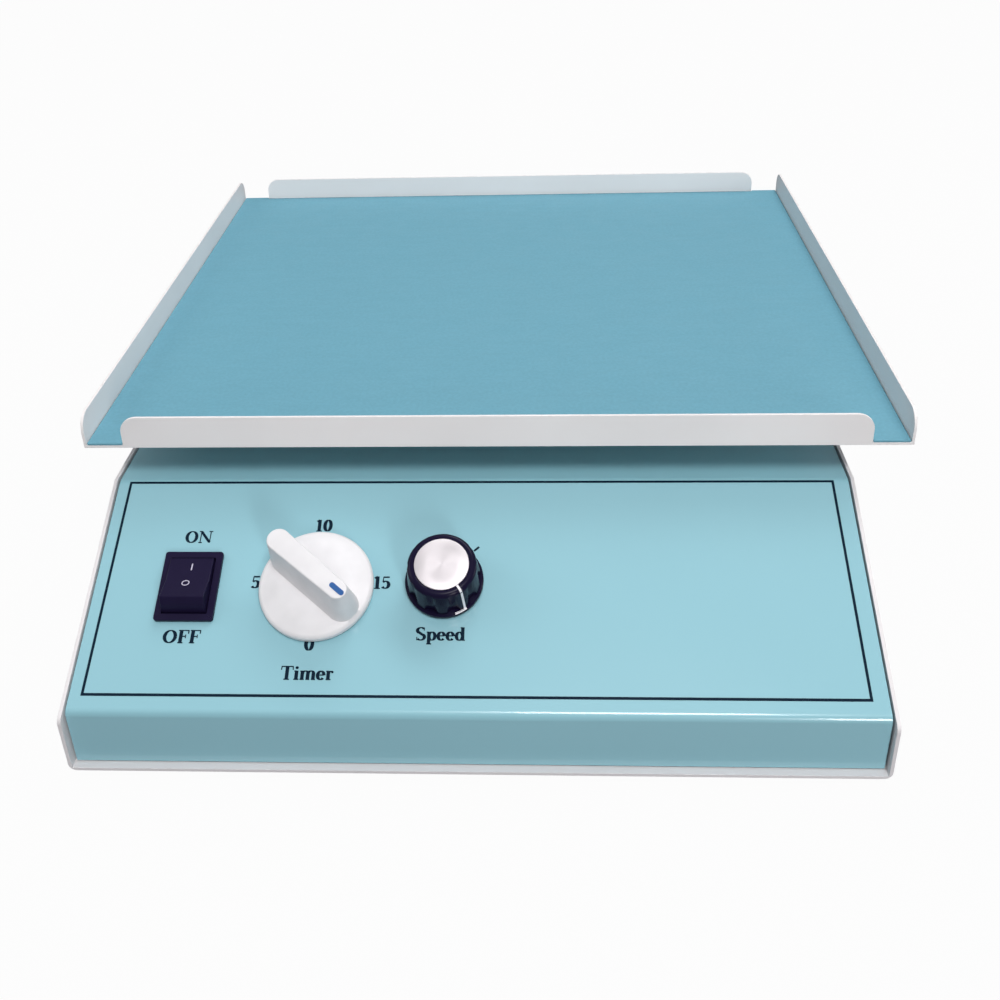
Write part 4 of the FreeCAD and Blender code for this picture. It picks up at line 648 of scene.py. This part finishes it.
class ROTATOR_OT_speed_knob(bpy.types.Operator):
    """Dress the fluted speed knob, spin its aluminium cap and fill its white line"""
    bl_idname = "rotator.speed_knob"
    bl_label = "Speed knob"

    cap_radius: FloatProperty(
        name="Cap radius", description="Radius of the aluminium disc", unit="LENGTH", default=11.5 * MM)
    line_angle: FloatProperty(
        name="Line angle", description="Where the white line stands", unit="ROTATION",
        default=math.radians(-54))

    def execute(self, context):
        dress("speed_knob")
        self.spin_cap()
        self.fill_line()
        return {"FINISHED"}

    def spin_cap(self):
        """The cap as a lathe mesh with its rings in a UV map, so that the sheen follows them. Its face
        is dished by 0.12 mm, and the profile runs from its middle over its rounded rim to its foot."""
        foot, top, corner = 17.5 * MM, 18.0 * MM, 0.3 * MM
        rim = self.cap_radius
        profile = [(0.02 * MM, top - 0.12 * MM), (2.0 * MM, top - 0.1 * MM),
                   (6.0 * MM, top - 0.06 * MM), (rim - corner, top),
                   (rim - 0.3 * corner, top - 0.3 * corner), (rim, top - corner), (rim, foot)]
        steps = 96
        bm = bmesh.new()
        layer = bm.loops.layers.uv.new("Lathe")
        rings = []
        for radius, height in profile:
            ring = []
            for step in range(steps):
                angle = 2 * math.pi * step / steps
                spot = Vector((radius * math.cos(angle), radius * math.sin(angle), height))
                ring.append(bm.verts.new(SPEED_MATRIX @ spot))
            rings.append(ring)
        for row, (inner, outer) in enumerate(zip(rings, rings[1:])):
            for step in range(steps):
                after = (step + 1) % steps
                face = bm.faces.new((inner[step], outer[step], outer[after], inner[after]))
                places = ((step, row), (step, row + 1), (step + 1, row + 1), (step + 1, row))
                for loop, (turn, along) in zip(face.loops, places):
                    loop[layer].uv = (turn / steps, along / len(profile))
        bm.faces.new(rings[0])
        bm.faces.new(list(reversed(rings[-1])))
        cap = new_piece("speed_cap_spun", bm, "spun_aluminium", NODES["speed_cap"]["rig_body"],
                        math.radians(30))
        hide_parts("speed_cap")

    def fill_line(self):
        """White line from the cap's edge down the knob's side to its skirt, and a short white stroke
        across the skirt that is a painted highlight, a glint on its rim. Rays at the knob find the
        corners: drop looks down from above, and press in from the side."""
        knob = surface_of("speed_knob")
        turn = SPEED_MATRIX @ Matrix.Rotation(self.line_angle, 4, "Z")
        heading = turn.to_3x3()
        half, lift, glint_lift, depth = 0.5 * MM, 0.1 * MM, 0.12 * MM, 0.12 * MM
        # Millimetres out from the knob's axis or up from the panel, and degrees round the axis
        over_rim = (11.5, 11.9, 12.3, 12.7, 13.0, 13.3, 13.6, 13.9, 14.15, 14.35)
        side_top, side_fall, side_steps = 15.0, 12.1, 15
        on_skirt = 16.3
        glint_edges, glint_start, glint_sweep, glint_steps = (16.6, 15.95), 2.0, 19.0, 8

        def press(side, height):
            hit, normal = strike(knob, turn @ Vector((RAY_START, side, height)),
                                 heading @ Vector((-1, 0, 0)))
            return hit + normal * lift

        def drop(out, side, above=lift):
            hit, normal = strike(knob, turn @ Vector((out, side, RAY_START)),
                                 heading @ Vector((0, 0, -1)))
            return hit + normal * above

        rows = [(drop(out * MM, half), drop(out * MM, -half)) for out in over_rim]
        for step in range(side_steps + 1):
            height = (side_top - side_fall * step / side_steps) * MM
            rows.append((press(half, height), press(-half, height)))
        rows.append((drop(on_skirt * MM, half), drop(on_skirt * MM, -half)))
        bm = bmesh.new()
        stitch(bm, [(bm.verts.new(left), bm.verts.new(right)) for left, right in rows])
        # The painted highlight: a short white arc across the skirt's rim, where a glint would fall
        painted_glint = []
        for step in range(glint_steps + 1):
            angle = math.radians(glint_start - glint_sweep * step / glint_steps)
            spots = ((out * MM * math.cos(angle), out * MM * math.sin(angle)) for out in glint_edges)
            painted_glint.append([bm.verts.new(drop(out, side, glint_lift)) for out, side in spots])
        stitch(bm, painted_glint)
        bmesh.ops.recalc_face_normals(bm, faces=bm.faces)
        line = new_piece("speed_knob_line", bm, "pointer_white", NODES["speed_knob"]["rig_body"])
        thicken(line, depth)


class ROTATOR_OT_switch(bpy.types.Operator):
    """Dress the rocker switch and print its two marks on the paddle"""
    bl_idname = "rotator.switch"
    bl_label = "Rocker switch"

    def execute(self, context):
        dress("switch_bezel", 0.25 * MM)
        dress("rocker_paddle", 0.35 * MM)
        paddle = surface_of("rocker_paddle")

        def lay(across, up):
            return lay_point(paddle, PANEL_MATRIX, across, up, 0.06 * MM)

        bm = bmesh.new()
        middle, bar_top, bar_foot = -122.6 * MM, 63.6 * MM, 60.4 * MM
        ribbon(bm, [(middle, bar_top), (middle, bar_foot)], nib(0.24 * MM), lay)
        ring = bow(middle - 1.0 * MM, 54.0 * MM, 1.5 * MM, 1.3 * MM, 0, 360)[0]
        ring[-1] = ring[0]
        ribbon(bm, ring, nib(0.2 * MM), lay)
        marks = new_piece("paddle_marks", bm, "switch_ink", NODES["rocker_paddle"]["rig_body"])
        thicken(marks, 0.1 * MM)
        return {"FINISHED"}


class ROTATOR_OT_panel_print(bpy.types.Operator):
    """Print the frame line, the scale numbers and the plain control words on the panel"""
    bl_idname = "rotator.panel_print"
    bl_label = "Panel print"

    # Each word with its middle across and up the panel and its width, in millimetres
    groups = (
        ("switch_words", (("ON", -123.4, 78.3, 12.3), ("OFF", -122.8, 32.4, 16.4))),
        ("timer_scale", (("0", -68.4, 29.5, 4.5), ("5", -94.8, 57.0, 4.3), ("10", -67.9, 83.9, 7.8),
                         ("15", -40.0, 56.9, 7.6))),
        ("knob_words", (("Timer", -67.9, 17.2, 22.0), ("Speed", -13.8, 34.1, 21.0))),
    )
    # The speed scale's tick, half its width, and the frame line's left, right, low and high sides
    tick = ((-0.9, 71.7), (1.3, 73.6))
    tick_half = 0.45
    frame_line = (-159.7, 158.1, 7.7, 105.7)

    def execute(self, context):
        looks = context.scene.rotator_looks
        cover = surface_of("top_cover")

        def lay(across, up, level=0.0):
            return lay_point(cover, PANEL_MATRIX, across, up, 0.07 * MM + level)

        self.print_frame_line(looks.line_width / 2, lay)
        for name, group in self.groups:
            bm = bmesh.new()
            for text, across, up, width in group:
                write(bm, text, (across * MM, up * MM), looks.letter_height, width * MM, lay)
            self.print_ink(name, bm)
        bm = bmesh.new()
        ribbon(bm, [(x * MM, y * MM) for x, y in self.tick], nib(self.tick_half * MM), lay)
        self.print_ink("speed_scale_tick", bm)
        return {"FINISHED"}

    def print_ink(self, name, bm):
        thicken(new_piece(name, bm, "print_ink", "root"), INK_DEPTH)

    def print_frame_line(self, half, lay):
        """One closed ribbon round the panel, in short lengths that follow the cover, with its corners
        pushed out on both sides so that they stay square."""
        left, right, low, high = (side * MM for side in self.frame_line)
        corners = [(left, low), (right, low), (right, high), (left, high), (left, low)]
        centre_x, centre_y = (left + right) / 2, (low + high) / 2
        steps = 120
        bm = bmesh.new()
        rows = []
        for (x0, y0), (x1, y1) in zip(corners, corners[1:]):
            for step in range(steps):
                x = x0 + (x1 - x0) * step / steps
                y = y0 + (y1 - y0) * step / steps
                at_corner = step == 0
                push_x = math.copysign(half, x - centre_x) if x0 == x1 or at_corner else 0.0
                push_y = math.copysign(half, y - centre_y) if y0 == y1 or at_corner else 0.0
                rows.append((bm.verts.new(lay(x - push_x, y - push_y)),
                             bm.verts.new(lay(x + push_x, y + push_y))))
        stitch(bm, rows + rows[:1])
        self.print_ink("panel_frame_line", bm)


class ROTATOR_OT_screw_recesses(bpy.types.Operator):
    """Cut cross recesses into the screw heads with a Geometry Nodes tree"""
    bl_idname = "rotator.screw_recesses"
    bl_label = "Screw recesses"

    def execute(self, context):
        tree = self.recess_tree()
        down, back = Vector((0, 0, -1)), Vector((0, 1, 0))
        for name, facing in (("cover_screws", None), ("foot_screws", down), ("inlet_screws", back)):
            self.recess(name, facing, tree)
        return {"FINISHED"}

    def recess_tree(self):
        """Screws in, screws with a cross cut into each head out."""
        tree = bpy.data.node_groups.new("cross_recesses", "GeometryNodeTree")
        sockets = (("Geometry", "NodeSocketGeometry"), ("Heads", "NodeSocketObject"),
                   ("Recess Width", "NodeSocketFloat"), ("Slot Width", "NodeSocketFloat"),
                   ("Recess Depth", "NodeSocketFloat"), ("Finish", "NodeSocketMaterial"))
        for label, kind in sockets:
            tree.interface.new_socket(label, in_out="INPUT", socket_type=kind)
        tree.interface.new_socket("Geometry", in_out="OUTPUT", socket_type="NodeSocketGeometry")
        given = node(tree, "NodeGroupInput").outputs
        heads = node(tree, "GeometryNodeObjectInfo", [(given["Heads"], "Object")])
        twice = node(tree, "ShaderNodeMath", [(given["Recess Depth"], 0)],
                     operation="MULTIPLY", in_1=2.0)
        arms = []
        for first, second in (("Recess Width", "Slot Width"), ("Slot Width", "Recess Width")):
            size = node(tree, "ShaderNodeCombineXYZ", [(given[first], "X"), (given[second], "Y"),
                                                       (twice.outputs[0], "Z")])
            arms.append(node(tree, "GeometryNodeMeshCube", [(size.outputs[0], "Size")]))
        cross = node(tree, "GeometryNodeMeshBoolean", operation="UNION")
        for arm in arms:
            tree.links.new(arm.outputs["Mesh"], cross.inputs["Mesh 2"])
        facing = node(tree, "GeometryNodeInputNamedAttribute", data_type="FLOAT_VECTOR",
                      in_Name="facing")
        turn = node(tree, "FunctionNodeAlignRotationToVector",
                    [(facing.outputs["Attribute"], "Vector")], axis="Z")
        placed = node(tree, "GeometryNodeInstanceOnPoints",
                      [(heads.outputs["Geometry"], "Points"), (cross.outputs["Mesh"], "Instance"),
                       (turn.outputs["Rotation"], "Rotation")])
        cutters = node(tree, "GeometryNodeRealizeInstances",
                       [(placed.outputs["Instances"], "Geometry")])
        cut = node(tree, "GeometryNodeMeshBoolean", [(given["Geometry"], "Mesh 1"),
                                                     (cutters.outputs["Geometry"], "Mesh 2")],
                   operation="DIFFERENCE")
        real = node(tree, "GeometryNodeRealizeInstances", [(cut.outputs["Mesh"], "Geometry")])
        painted = node(tree, "GeometryNodeSetMaterial", [(real.outputs["Geometry"], "Geometry"),
                                                         (given["Finish"], "Material")])
        node(tree, "NodeGroupOutput", [(painted.outputs["Geometry"], "Geometry")])
        return tree

    def recess(self, name, facing, tree):
        """Stand screws with a cross in each head in for a solid's plain ones."""
        piece = new_piece(name + "_dressed", merged(name), "zinc_steel", NODES[name]["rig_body"])
        heads = self.head_points(piece.data, facing)
        cutter = piece.modifiers.new("recesses", "NODES")
        cutter.node_group = tree
        values = {"Heads": heads, "Recess Width": 2.6 * MM, "Slot Width": 0.6 * MM,
                  "Recess Depth": 1.0 * MM, "Finish": MATERIALS["zinc_steel"]}
        for item in tree.interface.items_tree:
            if item.in_out == "INPUT" and item.name in values:
                cutter[item.identifier] = values[item.name]
        apply_modifiers(piece)
        bpy.data.objects.remove(heads)
        if not piece.data.polygons:
            raise RuntimeError("the recesses left no screws")
        piece.data.shade_smooth()
        piece.data.set_sharp_from_angle(angle=SMOOTH_BELOW)
        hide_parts(name)

    def head_points(self, mesh, facing):
        """A point at the middle of each screw's outer face, with the way it faces: the given one, or
        else out of the side of the case that the screw is on."""
        bm = bmesh.new()
        bm.from_mesh(mesh)
        left = set(bm.verts)
        spots = []
        while left:
            island = set()
            reach = [next(iter(left))]
            while reach:
                corner = reach.pop()
                if corner in island:
                    continue
                island.add(corner)
                reach.extend(edge.other_vert(corner) for edge in corner.link_edges)
            left -= island
            middle = sum((corner.co for corner in island), Vector()) / len(island)
            out = facing or Vector((math.copysign(1.0, middle.x - BASE_X), 0, 0))
            tip = max(corner.co.dot(out) for corner in island)
            spots.append((middle + out * (tip - middle.dot(out)), out))
        bm.free()
        points = bpy.data.meshes.new("screw_heads")
        points.from_pydata([spot for spot, out in spots], [], [])
        ways = points.attributes.new("facing", "FLOAT_VECTOR", "POINT")
        for index, (spot, out) in enumerate(spots):
            ways.data[index].vector = out
        holder = bpy.data.objects.new("screw_heads", points)
        bpy.context.scene.collection.objects.link(holder)
        return holder


class ROTATOR_OT_inner_works(bpy.types.Operator):
    """Smooth the round parts of the drive, the motor and the electrics"""
    bl_idname = "rotator.inner_works"
    bl_label = "Inner works"

    def execute(self, context):
        for name in ("main_crank", "drive_pulley", "motor_pulley", "counterweight",
                     "main_bearing_housing", "idler_housings", "motor_can", "drive_belt",
                     "idler_crank_1", "idler_crank_2", "idler_crank_3", "idler_crank_4",
                     "main_bearings", "pin_bearings", "main_pin_bearing", "idler_lower_bearings",
                     "idler_upper_bearings", "deck_pillars", "capacitor", "motor_shaft", "pot_body",
                     "tray_carriage", "timer_body", "inlet_body", "inlet_pins"):
            dress(name)
        return {"FINISHED"}


class ROTATOR_OT_stage(bpy.types.Operator):
    """Set up the camera, the floor, the room and the soft lights"""
    bl_idname = "rotator.stage"
    bl_label = "Stage"

    # Each softbox with its place, width and height in metres, and its share of the lamp power
    lamps = (
        ("key_softbox", (0.2, -0.98, 1.62), 0.5, 0.5, 0.74),
        ("left_softbox", (-0.85, -0.1, 0.6), 0.5, 0.5, 0.08),
        ("right_softbox", (0.85, 0.05, 0.14), 0.4, 0.25, 0.05),
        ("front_softbox", (0.56, -1.5, 0.35), 0.22, 0.45, 0.3),
        ("rear_softbox", (0.35, 0.6, 1.45), 0.9, 0.5, 0.44),
    )
    lamp_target = Vector((0, 0, 0.05))

    def execute(self, context):
        self.make_camera()
        self.make_floor()
        self.make_room()
        self.make_lamps(context.scene.rotator_looks.lamp_power)
        context.scene.view_settings.view_transform = "Standard"
        return {"FINISHED"}

    def make_camera(self):
        """Camera fitted to the photograph: focal length and principal point in pixels of its frame."""
        focal, middle_x, middle_y, side = 1129.87, 483.3, 340.11, 1000.0
        pitch, yaw, roll = (math.radians(angle) for angle in (27.41, 3.31, 2.02))
        place = Vector((29.11, -328.93, 339.49)) * MM + Vector((BASE_X, LIP_Y, BEND_Z))
        sensor = 36.0
        data = bpy.data.cameras.new("photo_camera")
        data.sensor_fit = "HORIZONTAL"
        data.sensor_width = sensor
        data.lens = sensor * focal / side
        data.shift_x = (side / 2 - middle_x) / side
        data.shift_y = (middle_y - side / 2) / side
        data.clip_start = 0.01
        camera = bpy.data.objects.new("photo_camera", data)
        turn = Matrix.Rotation(yaw, 4, "Z")
        right = turn @ Vector((1, 0, 0))
        ahead = turn @ Vector((0, math.cos(pitch), -math.sin(pitch)))
        down = turn @ Vector((0, -math.sin(pitch), -math.cos(pitch)))
        image_right = math.cos(roll) * right + math.sin(roll) * down
        image_down = -math.sin(roll) * right + math.cos(roll) * down
        basis = Matrix((image_right, -image_down, -ahead)).transposed()
        camera.matrix_world = Matrix.Translation(place) @ basis.to_4x4()
        bpy.context.scene.collection.objects.link(camera)
        bpy.context.scene.camera = camera

    def seen_share(self, tree, by_camera, by_mirrors):
        """How much of plain white is seen in place of the lit surface, by the camera and by gloss."""
        path = node(tree, "ShaderNodeLightPath")
        plain = node(tree, "ShaderNodeMath", [(path.outputs["Is Camera Ray"], 0)],
                     operation="MULTIPLY", in_1=by_camera)
        part = node(tree, "ShaderNodeMath",
                    [(path.outputs["Is Glossy Ray"], 0), (plain.outputs[0], 2)],
                    operation="MULTIPLY_ADD", in_1=by_mirrors, use_clamp=True)
        return part.outputs[0]

    def make_floor(self):
        """A plain floor just under the feet: white to the camera, with a faint shadow, and a mid grey
        that throws a soft light up at the object."""
        reach, gap = 6.0, 0.2 * MM
        mesh = bpy.data.meshes.new("floor")
        corners = [(-reach, -reach, 0), (reach, -reach, 0), (reach, reach, 0), (-reach, reach, 0)]
        mesh.from_pydata(corners, [], [(0, 1, 2, 3)])
        floor = bpy.data.objects.new("floor", mesh)
        floor.location.z = -gap
        bpy.context.scene.collection.objects.link(floor)
        material, tree, shader = new_material("pale_floor", Roughness=0.9, Specular_IOR_Level=0.0)[:3]
        shader.inputs["Base Color"].default_value = linear("#8C8C90")
        glow = node(tree, "ShaderNodeEmission", in_Color=linear("#FFFFFF"), in_Strength=1.0)
        share = self.seen_share(tree, by_camera=0.97, by_mirrors=0.1)
        mix = node(tree, "ShaderNodeMixShader",
                   [(share, 0), (shader.outputs[0], 1), (glow.outputs[0], 2)])
        tree.links.new(mix.outputs[0], tree.nodes["Material Output"].inputs["Surface"])
        mesh.materials.append(material)

    def make_room(self):
        """A room that is bright overhead, dim towards the horizon and plain white behind the object."""
        world = bpy.data.worlds.new("soft_room")
        bpy.context.scene.world = world
        world.use_nodes = True
        tree = world.node_tree
        room = tree.nodes["Background"]
        way = node(tree, "ShaderNodeTexCoord").outputs["Generated"]
        height = node(tree, "ShaderNodeSeparateXYZ", [(way, "Vector")]).outputs["Z"]
        level = node(tree, "ShaderNodeMapRange", [(height, "Value")], interpolation_type="SMOOTHSTEP",
                     in_From_Min=0.05, in_From_Max=0.95, in_To_Min=0.03, in_To_Max=0.45)
        tree.links.new(level.outputs["Result"], room.inputs["Strength"])
        room.inputs["Color"].default_value = linear("#F6F7FA")
        white = node(tree, "ShaderNodeBackground", in_Color=linear("#FFFFFF"), in_Strength=1.0)
        share = self.seen_share(tree, by_camera=1.0, by_mirrors=0.3)
        mix = node(tree, "ShaderNodeMixShader",
                   [(share, 0), (room.outputs[0], 1), (white.outputs[0], 2)])
        tree.links.new(mix.outputs[0], tree.nodes["World Output"].inputs["Surface"])

    def make_lamps(self, power):
        """The softboxes, all turned towards the middle of the object."""
        for name, place, width, height, share in self.lamps:
            data = bpy.data.lights.new(name, "AREA")
            data.shape = "RECTANGLE"
            data.size = width
            data.size_y = height
            data.energy = power * share
            lamp = bpy.data.objects.new(name, data)
            lamp.location = place
            aim = self.lamp_target - lamp.location
            lamp.rotation_euler = aim.to_track_quat("-Z", "Y").to_euler()
            bpy.context.scene.collection.objects.link(lamp)


class ROTATOR_PT_looks(bpy.types.Panel):
    """Sizes, colours and steps of the rotator's looks"""
    bl_idname = "ROTATOR_PT_looks"
    bl_label = "Platform Rotator"
    bl_space_type = "VIEW_3D"
    bl_region_type = "UI"
    bl_category = "Rotator"

    def draw(self, context):
        looks = context.scene.rotator_looks
        for name in RotatorLooks.__annotations__:
            self.layout.prop(looks, name)
        for step in STEPS:
            self.layout.operator(step.bl_idname)


# In the order in which main runs them
STEPS = (
    ROTATOR_OT_finishes,
    ROTATOR_OT_sheet_metal,
    ROTATOR_OT_rubber,
    ROTATOR_OT_timer_knob,
    ROTATOR_OT_speed_knob,
    ROTATOR_OT_switch,
    ROTATOR_OT_panel_print,
    ROTATOR_OT_screw_recesses,
    ROTATOR_OT_inner_works,
    ROTATOR_OT_stage,
)


def register():
    for kind in (RotatorLooks, *STEPS, ROTATOR_PT_looks):
        bpy.utils.register_class(kind)
    bpy.types.Scene.rotator_looks = PointerProperty(type=RotatorLooks)


def unregister():
    del bpy.types.Scene.rotator_looks
    for kind in reversed((RotatorLooks, *STEPS, ROTATOR_PT_looks)):
        bpy.utils.unregister_class(kind)


def main():
    register()
    bpy.ops.rotator.finishes()
    bpy.ops.rotator.sheet_metal()
    bpy.ops.rotator.rubber()
    bpy.ops.rotator.timer_knob()
    bpy.ops.rotator.speed_knob()
    bpy.ops.rotator.switch()
    bpy.ops.rotator.panel_print()
    bpy.ops.rotator.screw_recesses()
    bpy.ops.rotator.inner_works()
    bpy.ops.rotator.stage()


if __name__ == "__main__":
    main()
